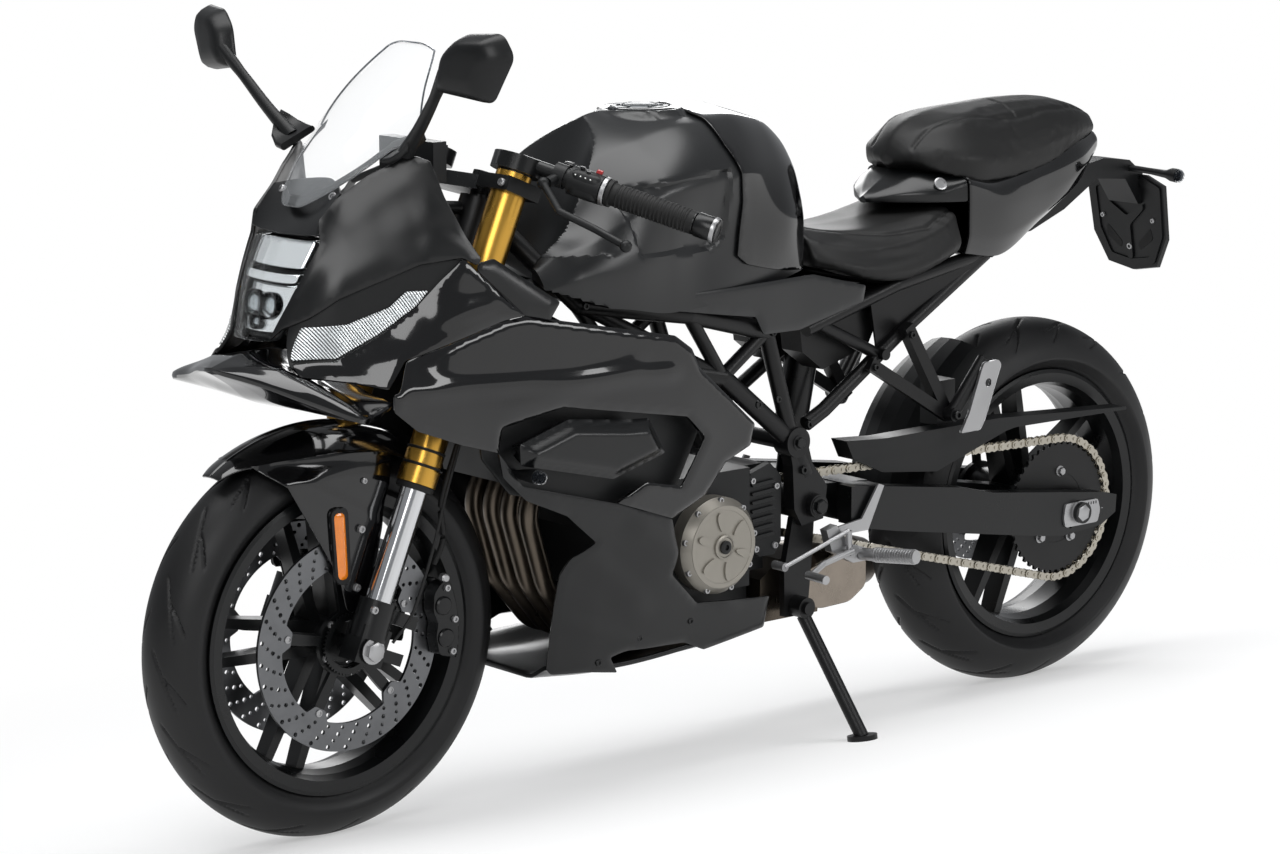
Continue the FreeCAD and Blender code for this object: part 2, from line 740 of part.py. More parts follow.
calipers = []
for side in (1, -1):
    y = side * size("front_disc_y")
    shell = side_plate([(-78, 0), (-60, -62), (-36, -72), (-16, -40), (-16, 40), (-36, 66), (-62, 56)], y - 30, y + 30)
    shell.Placement = Placement(Vector(-112, 0, 92), Rotation(Y, 0)).multiply(shell.Placement)
    trimmed = doc.addObject("Part::Common", made_name("caliper_trim"))
    trimmed.Base = shell
    trimmed.Tool = bar((0, y - 40, 0), (0, y + 40, 0), 184, "caliper_limit")
    calipers.append(without(
        trimmed,
        bar((0, y - 5.5, 0), (0, y + 5.5, 0), "front_disc_r + 4", "disc_room"),
        stem="caliper"))
finish("front_calipers", at_fork(grouped(*calipers)))


# Frame, swingarm and what hangs from them


def steer(run, across=0.0, ahead=0.0):
    """A point by its distance up the steering axis from the axle's height, across, and ahead of the axis."""
    place = FORK.multVec(Vector(ahead - OFF, across, run))
    return (place.x, place.y, place.z)


PX, PZ = size("pivot_x"), size("pivot_z")
head_tube = bar(steer(572), steer(688), 28, "head_tube")
head_bore = bar(steer(500), steer(760), 15.06, "head_bore")
rails = []
for s in (1, -1):
    rails += [
        run_of([steer(668, 8 * s, -20), (330, 118 * s, 765), (140, 146 * s, 735), (-30, 134 * s, 690)],
               "tube_r", "top_tube"),
        run_of([steer(611, 8 * s, -22), (340, 112 * s, 690), (60, 134 * s, 628), (-91, 128 * s, 508),
                (-118, 128 * s, 452)], "tube_r", "low_tube"),
        bar((330, 118 * s, 765), (60, 134 * s, 628), 11, "brace"),
        bar((140, 146 * s, 735), (60, 134 * s, 628), 11, "brace"),
        bar((-30, 134 * s, 690), (60, 134 * s, 628), 11, "brace"),
        bar((-30, 134 * s, 690), (-91, 128 * s, 508), 13, "upright"),
        bar((-91, 112 * s, 508), (-91, 146 * s, 508), 24, "ring_joint"),
    ]
plate_line = [(-150, 378), (-104, 372), (-88, 400), (-84, 470), (-72, 520), (-110, 524), (-126, 470), (-158, 430)]
plates = twin(side_plate(plate_line, 116, 140, [(PX, PZ, "pivot_r")], "pivot_plate"))
cross = bar((-110, -134, 500), (-110, 134, 500), 13, "frame_cross")
stand_bracket = side_plate([(-142, 386), (-96, 384), (-78, 300), (-80, 226), (-128, 222), (-136, 300)], 116, 128,
                           [], "stand_bracket")
pivot_shaft = joined(
    bar((PX, -146, PZ), (PX, 146, PZ), "pivot_r", "pivot_shaft"), bar((PX, 138, PZ), (PX, 152, PZ), 19, "pivot_head"),
    bar((PX, -152, PZ), (PX, -138, PZ), 19, "pivot_nut"))
STAND_PIVOT = Vector(-104, 142, 241)
stand_bolt = joined(
    bar(STAND_PIVOT + Vector(0, -18, 0), STAND_PIVOT + Vector(0, 16, 0), 6, "stand_bolt"),
    bar(STAND_PIVOT + Vector(0, 12.5, 0), STAND_PIVOT + Vector(0, 18, 0), 10, "stand_bolt"))
finish("frame", without(
    joined(head_tube, *rails, plates, cross, stand_bracket, pivot_shaft, stand_bolt), head_bore, stem="frame"))

UPPER_RAIL = [(-138, 108, 678), (-335, 108, 731), (-560, 84, 760), (-700, 70, 850)]
sub = []
for s in (1, -1):
    sub += [
        run_of([(x, y * s, z) for x, y, z in UPPER_RAIL], "rail_r", "rail"),
        run_of([(-137, 112 * s, 528), (-179, 108 * s, 545), (-360, 100 * s, 655), (-560, 84 * s, 758)],
               "rail_r", "rail"),
        bar((-165, 108 * s, 684), (-301, 104 * s, 620), 10, "rail_brace"),
    ]
sub += [bar((-560, -84, 760), (-560, 84, 760), 10, "rail_cross"), bar((-335, -108, 731), (-335, 108, 731), 10, "rail_cross")]


def link_plate(start, end, width, low, high, stem="link"):
    """A straight plate in side view, from (x, z) to (x, z)."""
    run = math.hypot(end[0] - start[0], end[1] - start[1])
    nx, nz = -(end[1] - start[1]) / run * width / 2, (end[0] - start[0]) / run * width / 2
    return side_plate([(start[0] + nx, start[1] + nz), (end[0] + nx, end[1] + nz), (end[0] - nx, end[1] - nz),
                       (start[0] - nx, start[1] - nz)], low, high, [], stem)


pillion_pegs = twin(joined(
    link_plate((-345, 664), (-440, 506), 20, 110, 130, "pillion_bracket"),
    link_plate((-262, 612), (-440, 506), 20, 118, 130, "pillion_bracket"),
    bar((-300, 100, 622), (-300, 124, 622), 9, "bracket_boss"),
    bar((-434, 118, 512), (-434, 150, 512), 12, "pillion_pivot"),
    bar((-434, 140, 512), (-500, 146, 596), 12, "pillion_peg")))
infill = twin(side_plate([(-286, 714), (-335, 730), (-545, 756), (-360, 654), (-304, 620)], 95, 99, [], "infill"))
battery_box = twin(side_plate([(-150, 676), (-190, 700), (-300, 724), (-338, 728), (-330, 690), (-300, 636),
                               (-262, 622), (-200, 604), (-156, 636)], 34, 82, [], "battery_box"))
finish("subframe", joined(*sub, pillion_pegs, infill, battery_box, stem="subframe"))

ARM = size("arm_out")
THK = size("arm_thick")
AX, AZ = REAR.x, REAR.z
arm_line = [(-200, 424), (-213, 424), (-449, 390), (-520, 372), (-785, 338), (-818, 330), (-816, 300), (-780, 282),
            (-690, 276), (-640, 282), (-302, 338), (-232, 352), (-200, 362)]
leg = side_plate(arm_line, ARM - THK, ARM, [(AX, AZ, "rear_axle_r"), (-706, 290, "bobbin_r")], "arm_leg")
rear_axle = joined(bar((AX, -160, AZ), (AX, 160, AZ), "rear_axle_r", "rear_axle"),
                   bar((AX, ARM - 2, AZ), (AX, ARM + 13, AZ), 18, "axle_nut"),
                   bar((AX, -ARM - 13, AZ), (AX, -ARM + 2, AZ), 18, "axle_nut"))
rear_caliper = without(
    side_plate([(-60, 150), (60, 150), (46, 84), (-46, 84)], -124, -68, [], "rear_caliper"),
    bar((0, -94, 0), (0, -82, 0), "rear_disc_r + 4", "disc_room"))
rear_caliper.Placement = Placement(REAR, Rotation(Y, 50)).multiply(rear_caliper.Placement)
shock = joined(
    bar((-200, 0, 470), (-235, 0, 640), 27, "spring"), bar((-190, 0, 400), (-200, 0, 472), 14, "shock_foot"),
    bar((-235, 0, 638), (-242, 0, 664), 14, "shock_top"))
arm = joined(
    bar((PX, -114, PZ), (PX, 114, PZ), 26, "pivot_tube"),
    side_plate([(-150, 422), (-300, 412), (-300, 344), (-150, 378)], -84, 84, [], "arm_front"),
    side_plate([(-232, 418), (-300, 410), (-300, 344), (-232, 356)], -ARM + 2, ARM - 2, [], "arm_cross"),
    twin(leg), rear_axle, rear_caliper, shock, stem="swingarm")
finish("swingarm", without(arm, bar((PX, -130, PZ), (PX, 130, PZ), "pivot_r"), stem="swingarm"))

# Engine, cooling and exhaust

case = joined(
    block((5, -138, 292), (215, 138, 480)), block((-70, -138, 300), (5, 86, 470)),
    block((-50, -70, 240), (190, 70, 300)), stem="case")
head_block = block((-60, -96, -10), (110, 96, 230))
head_block.Placement = Placement(Vector(175, 0, 455), Rotation(Y, 22)).multiply(head_block.Placement)
finish("engine", joined(case, head_block, front_sprocket, output_shaft, stem="engine"))

AL_X, AL_Z, AL_R = size("alternator_x"), size("alternator_z"), size("alternator_r")
alternator = joined(
    bar((AL_X, 138.3, AL_Z), (AL_X, 162, AL_Z), "alternator_r", "cover"),
    tapered((AL_X, 162, AL_Z), (AL_X, 176, AL_Z), "alternator_r", "alternator_r - 12", "cover_dome"),
    stem="alternator_cover")
finish("engine_covers", grouped(alternator, joined(
    bar((70, -168, 385), (70, -138.3, 385), 84, "cover"),
    bar((150, -160, 440), (150, -138.3, 440), 46, "cover"), stem="clutch_cover")))
finish("sprocket_cover", joined(
    side_plate([(-74, 455), (-50, 478), (-10, 466), (3, 430), (3, 350), (-30, 330), (-60, 330), (-74, 350)],
               112, 124, [], "sprocket_cover"),
    block((-10, 108, 430), (4.6, 124, 460))))
finish("radiator", joined(
    block((410, -140, 500), (436, 140, 690)), block((414, -158, 520), (432, 158, 670)), stem="radiator"))
headers = []
for y in (-66, -22, 22, 66):
    headers.append(bent([(323.4, y, 524.6), (362, y, 509), (392, y, 446), (356, y, 330), (288, y * 0.85, 246),
                           (206.2, y * 0.72, 224)], 15, 60, "header"))
CAN_FRONT, CAN_REAR = Vector(-186, -142, 230), Vector(-470, -146, 212)
CAN_TIP = CAN_REAR + (CAN_REAR - CAN_FRONT).normalize() * 35
can = joined(bar(CAN_FRONT, CAN_REAR, 48, "can"), tapered(CAN_REAR, CAN_TIP, 48, 40, "can_end"))
collector = joined(block((-60, -70, 210), (206, 60, 238)), block((-180, -150, 212), (-50, -60, 254)),
                   side_plate([(-56, 214), (-56, 284), (-96, 312), (-166, 314), (-188, 280), (-180, 214)], -80, 96,
                              [], "exhaust_box"))
finish("exhaust", grouped(*headers, collector, can))

# Tank

TANK = [
    (-118, [(0, 1000), (50, 985), (96, 930), (118, 850), (118, 775)]),
    (-60, [(0, 1018), (66, 1005), (120, 940), (140, 850), (132, 765)]),
    (10, [(0, 1034), (84, 1018), (148, 940), (150, 850), (150, 757)]),
    (110, [(0, 1040), (98, 1018), (172, 935), (160, 845), (172, 750)]),
    (200, [(0, 1036), (98, 1000), (182, 925), (182, 835), (182, 748)]),
    (290, [(0, 1004), (84, 968), (176, 890), (196, 825), (186, 762)]),
    (380, [(0, 930), (80, 905), (160, 860), (190, 815), (184, 775)]),
    (438, [(0, 860), (80, 850), (150, 830), (172, 800), (166, 785)]),
]


def tank_hull(grow):
    """The tank's outer shape, made larger all round."""
    return hull_body([(x, [(y + grow if y else 0, z + (grow if z > 800 else 0)) for y, z in half]) for x, half in TANK])


belly = end_prism([(-122, 740), (122, 740), (110, 800), (-110, 800)], -150, 500)
steer_room = Part.makeCylinder(143, 400, Vector(*steer(480)), Vector(*steer(700)) - Vector(*steer(480)))
cap_room = Part.makeCylinder(size("cap_r") + 8, 60, Vector(size("cap_x"), 0, size("cap_z") - 26), Z)
tube_room = []
for s in (1, -1):
    line = [steer(668, 8 * s, -20), (330, 118 * s, 765), (140, 146 * s, 735), (-30, 134 * s, 690)]
    tube_room += [rod(a, b, size("tube_r") + 2) for a, b in zip(line, line[1:])]
    tube_room += [ball(a, size("tube_r") + 2) for a in line[1:3]]
CX, CZ = size("cap_x"), size("cap_z")
skirt = panel([
    (205, [(180, 775), (174, 735)]), (100, [(174, 775), (170, 716)]), (0, [(163, 785), (161, 680)]),
    (-100, [(151, 792), (148, 675)]), (-245, [(141, 765), (137, 705)]),
], [(196, 772), (190, 748), (62, 727), (15, 720), (-4, 690), (-90, 687), (-236, 716), (-240, 742), (-118, 772)], 4)
finish("fuel_tank", without(
    joined(twin(shaped(skirt, "skirt")), shaped(largest(tank_hull(0).cut([belly, steer_room, cap_room] + tube_room)), "tank_shape"),
           bar((CX, 0, CZ - 30), (CX, 0, CZ - 3), "cap_r + 9", "filler"),
           block((CX + 44, -11, CZ - 16), (CX + 60, 11, CZ - 3))),
    bar((CX, 0, CZ - 16), (CX, 0, CZ + 20), "cap_r + cap_gap", "cap_seat"),
    block((CX + 30, -8, CZ - 16), (CX + 64, 8, CZ + 5)),
    stem="fuel_tank"))
HINGE_X, HINGE_Z = CX + 56, CZ + 1
finish("fuel_cap", joined(
    bar((CX, 0, CZ - 12), (CX, 0, CZ), "cap_r", "cap"),
    block((CX + 30, -6, CZ - 6), (HINGE_X, 6, CZ)),
    bar((HINGE_X, -6, HINGE_Z - 3), (HINGE_X, 6, HINGE_Z - 3), 3.5, "cap_hinge"),
    bar((CX, 0, CZ - 15), (CX, 0, CZ - 12), 26, "cap_plug"), stem="fuel_cap"))
COVER_LINE = [(72, 1045), (60, 990), (44, 945), (40, 900), (52, 818), (30, 803), (-128, 771), (-145, 850),
              (-146, 930), (-118, 980), (-20, 1045)]
cover = hull_body([
    (-140, [(0, 962), (50, 950), (82, 905), (94, 850), (90, 778)]),
    (-118, [(0, 1001), (54, 987), (100, 932), (122, 851), (122, 775)]),
    (-60, [(0, 1026), (70, 1013), (126, 944), (146, 852), (138, 765)]),
    (10, [(0, 1040), (86, 1024), (152, 944), (155, 852), (155, 757)]),
    (90, [(0, 1044), (98, 1024), (174, 940), (164, 850), (174, 752)]),
])
cap_wall = Part.makeCylinder(size("cap_r") + 9.3, 60, Vector(CX, 0, CZ - 40), Z)
cover = cover.common(side_prism(COVER_LINE, -200, 200)).cut([tank_hull(0.3), cap_wall, end_prism(
    [(-90, 740), (90, 740), (90, 800), (-90, 800)], -160, 100)])
finish("tank_rear_cover", shaped(largest(cover), "rear_cover"))

# Nose. FACE is the outer surface of the nose and cheek, from the top edge down to the chin.

FACE = [
    (845, [(38, 775), (42, 764), (50, 752), (86, 732), (98, 724), (110, 714)]),
    (816, [(68, 822), (70, 812), (80, 784), (102, 735), (112, 722), (128, 706)]),
    (776, [(81, 926), (92, 872), (116, 814), (128, 733), (142, 718), (158, 698)]),
    (750, [(84, 952), (108, 880), (128, 828), (140, 746), (158, 722), (180, 690)]),
    (708, [(104, 987), (130, 895), (150, 845), (158, 775), (190, 730), (208, 688)]),
    (666, [(131, 1012), (155, 900), (172, 863), (175, 805), (200, 745), (214, 680)]),
    (637, [(160, 1010), (170, 915), (184, 869), (188, 835), (206, 755), (217, 672)]),
    (600, [(182, 965), (188, 905), (197, 871), (200, 862), (211, 765), (220, 665)]),
    (560, [(194, 920), (199, 885), (207, 855), (209, 840), (215, 770), (222, 658)]),
    (500, [(200, 870), (208, 840), (214, 815), (216, 800), (221, 768), (224, 650)]),
]
NOSE_LINE = [(776, 926), (750, 952), (708, 986), (683, 1000), (667, 1011), (652, 1014), (637, 1007), (622, 955),
             (597, 899), (579, 866), (586, 858), (608, 870), (666, 863), (708, 844), (772, 817), (804, 790),
             (830, 774), (843, 757), (816, 820), (797, 858), (778, 893)]
CHEEK_LINE = [(836, 727), (779, 731), (725, 762), (673, 801), (640, 838), (605, 869), (584, 846), (510, 779),
              (548, 775), (706, 731), (735, 692), (772, 702), (834, 712)]
HOUSE_LINE = [(838, 722), (820, 782), (790, 812), (708, 850), (640, 872), (600, 866), (600, 850), (660, 790),
              (700, 765), (779, 724)]
STRIP_LINE = [(834, 733), (812, 777), (762, 781), (707, 803), (684, 825), (655, 825), (673, 803), (725, 765),
              (779, 734)]
nose_left = joined(
    shaped(panel(FACE, NOSE_LINE, 5), "nose"), shaped(panel(FACE, CHEEK_LINE, 5), "cheek"),
    shaped(panel(FACE, HOUSE_LINE, 5, 3), "light_house"), stem="nose_left")
brow = cross_body([
    (-82, [(779, 905), (773, 927), (738, 962), (735, 958), (768, 924), (774, 903)]),
    (-45, [(787, 903), (760, 931), (716, 970), (713, 966), (755, 927), (781, 900)]),
    (0, [(791, 903), (752, 934), (700, 974), (697, 970), (748, 929), (785, 899)]),
    (45, [(787, 903), (760, 931), (716, 970), (713, 966), (755, 927), (781, 900)]),
    (82, [(779, 905), (773, 927), (738, 962), (735, 958), (768, 924), (774, 903)]),
])
finish("nose_fairing", joined(twin(nose_left), shaped(brow, "brow"), stem="nose_fairing"))
finish("light_strips", twin(shaped(panel(FACE, STRIP_LINE, 6.5, -4), "strip")))
finish("headlight", shaped(level_body([
    (753, [(852, 0), (849, 26), (839, 40), (800, 40), (796, 0)]),
    (818, [(830, 0), (826, 40), (812, 60), (772, 60), (764, 0)]),
    (897, [(790, 0), (786, 46), (774, 72), (738, 72), (728, 0)]),
]), "headlight"))
finish("chin_splitter", shaped(hull_body([
    (908, [(0, 719), (8, 718), (16, 717), (16, 711), (8, 710), (0, 709)]),
    (880, [(0, 728), (40, 722), (80, 706), (80, 699), (40, 694), (0, 691)]),
    (849, [(0, 736), (84, 720), (150, 688), (150, 680), (70, 670), (0, 667)]),
    (819, [(0, 738), (114, 708), (236, 670), (235, 661), (110, 660), (0, 656)]),
    (793, [(0, 736), (134, 696), (226, 666), (222, 657), (116, 655), (0, 650)]),
    (745, [(0, 728), (150, 686), (210, 676), (206, 668), (130, 656), (0, 650)]),
]), "chin"))
finish("nose_stay", joined(
    bar(steer(664, 0, 30.3), (560, 0, 920), 10, "stay"), bar((545, 0, 920), (712, 0, 868), 10, "stay"),
    bar((600, -181, 897), (600, 181, 897), 8, "stay"), block((700, -40, 790), (724, 40, 890)),
    block((715, -36, 790), (761.8, 36, 822)),
    bar((560, 0, 915), (548, 0, 975), 8, "stay"), block((536, -66, 960), (560, 66, 1020), "dash"),
    stem="nose_stay"))


def screen_ring(points, thick):
    """Closed outline of the screen in a level plane: front edge, then the inner edge back again."""
    outer = [(x, y, z) for x, y, z in points] + [(x, -y, z) for x, y, z in reversed(points[:-1])]
    inner = [(x - thick, y * (1 - thick / 90), z) for x, y, z in reversed(outer)]
    return outer + inner


def screen_level(z, shift, half, depth):
    points = []
    for t in (1.0, 0.8, 0.55, 0.28, 0.0):
        points.append((shift - depth * t**2.2, half * t, z))
    return points


screen = lofted([screen_ring(screen_level(z, x, h, d), size("screen_thick")) for z, x, h, d in (
    (925, 778, 126, 150), (985, 742, 132, 110), (1040, 690, 118, 66), (1095, 634, 92, 38), (1154, 560, 54, 14),
    (1162, 548, 44, 10))])
base = face_of([(520, -200, 1070), (660, -200, 1020), (768, -200, 938.5), (830, -200, 938.5), (830, -200, 1300),
                (520, -200, 1300)])
screen = largest(screen.common(base.extrude(Vector(0, 400, 0))))
finish("windscreen", shaped(screen, "screen"))


def mirror_face(ahead, shape):
    """Points of the mirror housing on a plane turned a little outwards."""
    return [(ahead - 0.22 * (y - 260), y, z) for y, z in shape]


mirror = lofted([
    mirror_face(712, [(262, 1120), (274, 1168), (300, 1188), (352, 1190), (366, 1168), (336, 1112)]),
    mirror_face(680, [(250, 1114), (264, 1174), (292, 1198), (360, 1202), (380, 1170), (342, 1102)]),
], True)
finish("mirrors", twin(joined(
    shaped(mirror, "mirror"), bar((668, 150, 1026), (676, 196, 1066), 9, "stalk"),
    bar((675, 190, 1060), (694, 276, 1146), 8.5, "stalk"),
    shaped(cross_body([
        (128, [(696, 1012), (640, 1034), (636, 1026), (694, 1002)]),
        (158, [(690, 1022), (644, 1042), (640, 1034), (688, 1012)]),
    ]), "mirror_foot"), stem="mirror")))

# Side fairings

SIDE = [
    (815, [(180, 800), (196, 740), (226, 668), (224, 655), (200, 560), (170, 460), (130, 320), (100, 190)]),
    (706, [(186, 800), (195, 731), (216, 690), (216, 640), (205, 560), (176, 440), (134, 310), (100, 190)]),
    (620, [(192, 885), (208, 780), (219, 665), (216, 605), (208, 550), (172, 430), (134, 300), (98, 190)]),
    (550, [(196, 880), (216, 776), (226, 655), (221, 612), (212, 545), (170, 420), (130, 300), (100, 190)]),
    (447, [(204, 860), (222, 765), (231, 663), (230, 636), (212, 500), (178, 410), (142, 300), (120, 190)]),
    (335, [(214, 850), (225, 745), (232, 664), (232, 620), (216, 478), (190, 400), (166, 300), (146, 190)]),
    (220, [(216, 850), (226, 722), (229, 664), (230, 600), (211, 440), (196, 380), (172, 290), (150, 190)]),
    (120, [(214, 840), (222, 700), (224, 620), (222, 560), (218, 500), (198, 380), (170, 285), (150, 190)]),
    (0, [(210, 840), (216, 680), (218, 600), (218, 550), (212, 490), (190, 380), (164, 280), (146, 190)]),
    (-60, [(206, 840), (210, 680), (212, 600), (212, 550), (206, 490), (184, 380), (158, 280), (140, 190)]),
]
UPPER_LINE = [(744.6, 664), (744.6, 690), (735, 691), (706, 730.5), (548, 774.5), (509.6, 778.6), (582, 848),
              (578, 860), (552, 864), (444, 792), (466, 768), (232, 722),
              (199, 699), (183, 668), (66, 568), (74, 535), (123, 516), (161, 468), (224, 440), (335, 479),
              (282, 505), (211, 489), (171, 561), (210, 597), (447, 639), (556, 620), (559, 583), (626, 603),
              (703, 632)]
LOWER_LINE = [(559, 582.5), (511, 527), (335, 478.5), (224, 439.5), (203, 386), (204, 346), (141, 290), (-19, 275),
              (-16, 224), (111, 208), (154, 227), (270, 233), (299, 226), (282, 199), (343, 209), (400, 212),
              (408, 220), (410, 372), (398, 398), (359, 419), (424, 470), (500, 503), (548, 545)]
BACK_LINE = [(576, 632), (446, 654), (204, 610), (152, 562), (200, 472), (282, 488), (335, 462), (516, 512),
             (566, 570)]
POD_LINE = [(526, 592), (435, 619), (330, 606), (282, 603), (249, 546), (350, 519), (524, 561)]
POD_TOP = [(512, 585), (430, 606), (335, 592), (296, 588), (270, 552), (352, 534), (510, 566)]
back = side_plate(BACK_LINE, 180, 184, [], "duct_wall")
pod = shaped(lofted([[(x, y, z) for x, z in line] for y, line in (
    (183, POD_LINE), (222, POD_LINE), (238, POD_TOP))], True), "pod")
bosses = [bar((x, 182, z), (x, y, z), 6, "boss") for x, y, z in (
    (480, 207, 512), (345, 213, 471))]
finish("side_fairing_upper", twin(shaped(panel(SIDE, UPPER_LINE, 5), "side_upper")))
lower = joined(shaped(panel(SIDE, LOWER_LINE, 5), "side_lower"), back, *bosses, stem="side_lower")
front_indicator = joined(block((494, 184, 538), (516, 236, 550)), bar((505, 232, 544), (505, 252, 544), 11, "lens"), stem="indicator")
belly_pan = shaped(hull_body([
    (-14, [(0, 207), (100, 207), (147, 234), (147, 226), (100, 200), (0, 200)]),
    (120, [(0, 202), (100, 202), (151, 223), (151, 215), (100, 195), (0, 195)]),
    (280, [(0, 197), (100, 197), (148, 214), (148, 206), (100, 190), (0, 190)]),
    (402, [(0, 204), (80, 204), (131, 226), (131, 218), (80, 197), (0, 197)]),
]), "belly_pan")
finish("side_fairing_lower", joined(twin(lower), twin(pod), belly_pan, stem="side_fairing_lower"))

# Seats and tail

rail_room = [rod((a[0], a[1] * s, a[2]), (b[0], b[1] * s, b[2]), size("rail_r") + 0.4)
             for s in (1, -1) for a, b in zip(UPPER_RAIL, UPPER_RAIL[1:])]
rail_room += [ball((x, y * s, z), size("rail_r") + 0.4) for s in (1, -1) for x, y, z in UPPER_RAIL[1:-1]]
finish("rider_seat", shaped(largest(hull_body([
    (-160, [(0, 846), (40, 842), (74, 824), (98, 790), (94, 772)]),
    (-240, [(0, 822), (66, 818), (120, 800), (142, 766), (132, 752)]),
    (-330, [(0, 824), (76, 820), (132, 800), (146, 758), (134, 740)]),
    (-420, [(0, 838), (86, 834), (128, 816), (138, 774), (126, 758)]),
    (-468, [(0, 852), (88, 848), (114, 834), (126, 788), (118, 770)]),
]).cut([end_prism([(-60, 740), (60, 740), (60, 790), (-60, 790)], -480, -150),
        Part.makeBox(24, 240, 12, Vector(-347, -120, 729.2))] + rail_room)), "seat"))
TAIL_WHOLE = hull_body([
    (-486, [(0, 896), (96, 892), (116, 886), (118, 850), (118, 800), (110, 770), (0, 770)]),
    (-570, [(0, 884), (90, 882), (108, 868), (112, 840), (108, 790), (98, 758), (0, 758)]),
    (-690, [(0, 896), (80, 894), (92, 880), (92, 850), (88, 818), (78, 804), (0, 804)]),
    (-790, [(0, 920), (62, 918), (74, 898), (74, 876), (68, 856), (58, 848), (0, 848)]),
    (-864, [(0, 932), (34, 931), (42, 922), (42, 912), (36, 900), (30, 894), (0, 894)]),
])
tail_gap = end_prism([(-98, 740), (98, 740), (98, 840), (66, 872), (-66, 872), (-98, 840)], -720, -470)
finish("tail_fairing", shaped(largest(TAIL_WHOLE.cut([tail_gap] + rail_room)), "tail"))
COWL = hull_body([
    (-362, [(0, 862), (6, 858), (8, 854), (6, 851), (0, 850)]),
    (-400, [(0, 884), (36, 880), (62, 866), (60, 853), (0, 853)]),
    (-438, [(0, 902), (60, 896), (96, 868), (94, 853), (0, 853)]),
    (-485.7, [(0, 896), (96, 892), (115, 885), (117, 853), (0, 853)]),
])
finish("lock_panels", shaped(COWL, "seat_cowl"))
finish("pillion_seat", shaped(largest(hull_body([
    (-412, [(0, 922), (12, 919), (18, 914), (12, 906), (0, 904)]),
    (-452, [(0, 976), (44, 966), (92, 930), (90, 900), (0, 894)]),
    (-484, [(0, 986), (66, 974), (112, 924), (106, 888), (0, 888)]),
    (-572, [(0, 995), (72, 984), (112, 916), (104, 878), (0, 878)]),
    (-700, [(0, 1000), (62, 992), (96, 930), (86, 890), (0, 892)]),
    (-800, [(0, 990), (50, 984), (74, 944), (64, 914), (0, 914)]),
    (-866, [(0, 966), (30, 962), (44, 944), (38, 932), (0, 930)]),
]).cut([COWL, TAIL_WHOLE])), "pillion"))
finish("tail_light", shaped(hull_body([
    (-864.5, [(0, 930), (30, 929), (36, 922), (36, 912), (30, 900), (0, 898)]),
    (-880, [(0, 924), (20, 922), (24, 916), (22, 910), (16, 904), (0, 902)]),
]), "tail_light"))
PLATE_EDGE = [(-50, 852), (50, 852), (88, 836), (84, 742), (56, 690), (0, 680), (-56, 690), (-84, 742), (-88, 836)]
plate = face_of([(-984 - 0.17 * (848 - z), y, z) for y, z in PLATE_EDGE]).extrude(Vector(-9, 0, -1.5))
arm_line = [(-660, 790), (-790, 838), (-850, 878), (-896, 886), (-960, 878), (-994, 852), (-998, 800),
            (-984, 800), (-950, 846), (-880, 852), (-800, 806), (-720, 776), (-664, 772)]
holder = side_plate(arm_line, -34, 34, [], "holder")
finish("plate_holder", joined(holder, shaped(plate, "plate_board"), stem="plate_holder"))
rear_indicator = joined(
    bar((-962, 34.3, 864), (-968, 124, 860), 5.5, "stalk"), bar((-967, 116, 860), (-970, 148, 858), 12, "lens"),
    stem="indicator")
finish("indicators", grouped(twin(front_indicator), twin(rear_indicator)))

# Guards, pegs and controls


def mudguard(angle, outer, half, thick, drop):
    points = [(half * t, outer - drop * abs(t) ** 2.4) for t in (-1, -0.7, -0.35, 0, 0.35, 0.7, 1)]
    inner = [(y * (1 - thick / half), r - thick) for y, r in reversed(points)]
    a = math.radians(angle)
    return [(REAR.x + r * math.cos(a), y, REAR.z + r * math.sin(a)) for y, r in points + inner]


hugger = shaped(largest(lofted([mudguard(a, 332, h, 4, 20) for a, h in ((12, 86), (30, 88), (48, 86), (62, 70))])), "hugger")
finish("rear_guards", joined(
    hugger, block((-470, 60, 486), (-440, 100, 492)), block((-480, 60, 486), (-440, 100, 560)),
    side_plate([(-214, 492), (-300, 486), (-560, 488), (-868, 471), (-868, 466), (-600, 468), (-560, 462),
                (-330, 458), (-230, 460)], 88, 124, [], "chain_guard"),
    side_plate([(-214, 492), (-300, 486), (-560, 488), (-600, 470), (-420, 416), (-300, 430), (-230, 460)],
               118, 121.5, [], "chain_guard"), stem="rear_guards"))
pegs = []
for s in (1, -1):
    pegs.append(joined(
        side_plate([(-128, 366), (-150, 372), (-175, 340), (-228, 322), (-226, 306), (-186, 306), (-140, 330)],
                   min(156 * s, 172 * s), max(156 * s, 172 * s), [], "peg_bracket"),
        bar((-205, 172 * s, 318), (-208, 200 * s, 320), 10, "peg_hinge"),
        bar((-208, 196 * s, 320), (-222, 278 * s, 328), 11, "peg"),
        side_plate([(-160, 352), (-228, 352), (-262, 420), (-250, 424), (-214, 372), (-164, 366)],
                   min(158 * s, 162 * s), max(158 * s, 162 * s), [], "heel_guard")))
finish("footpegs", grouped(*pegs))

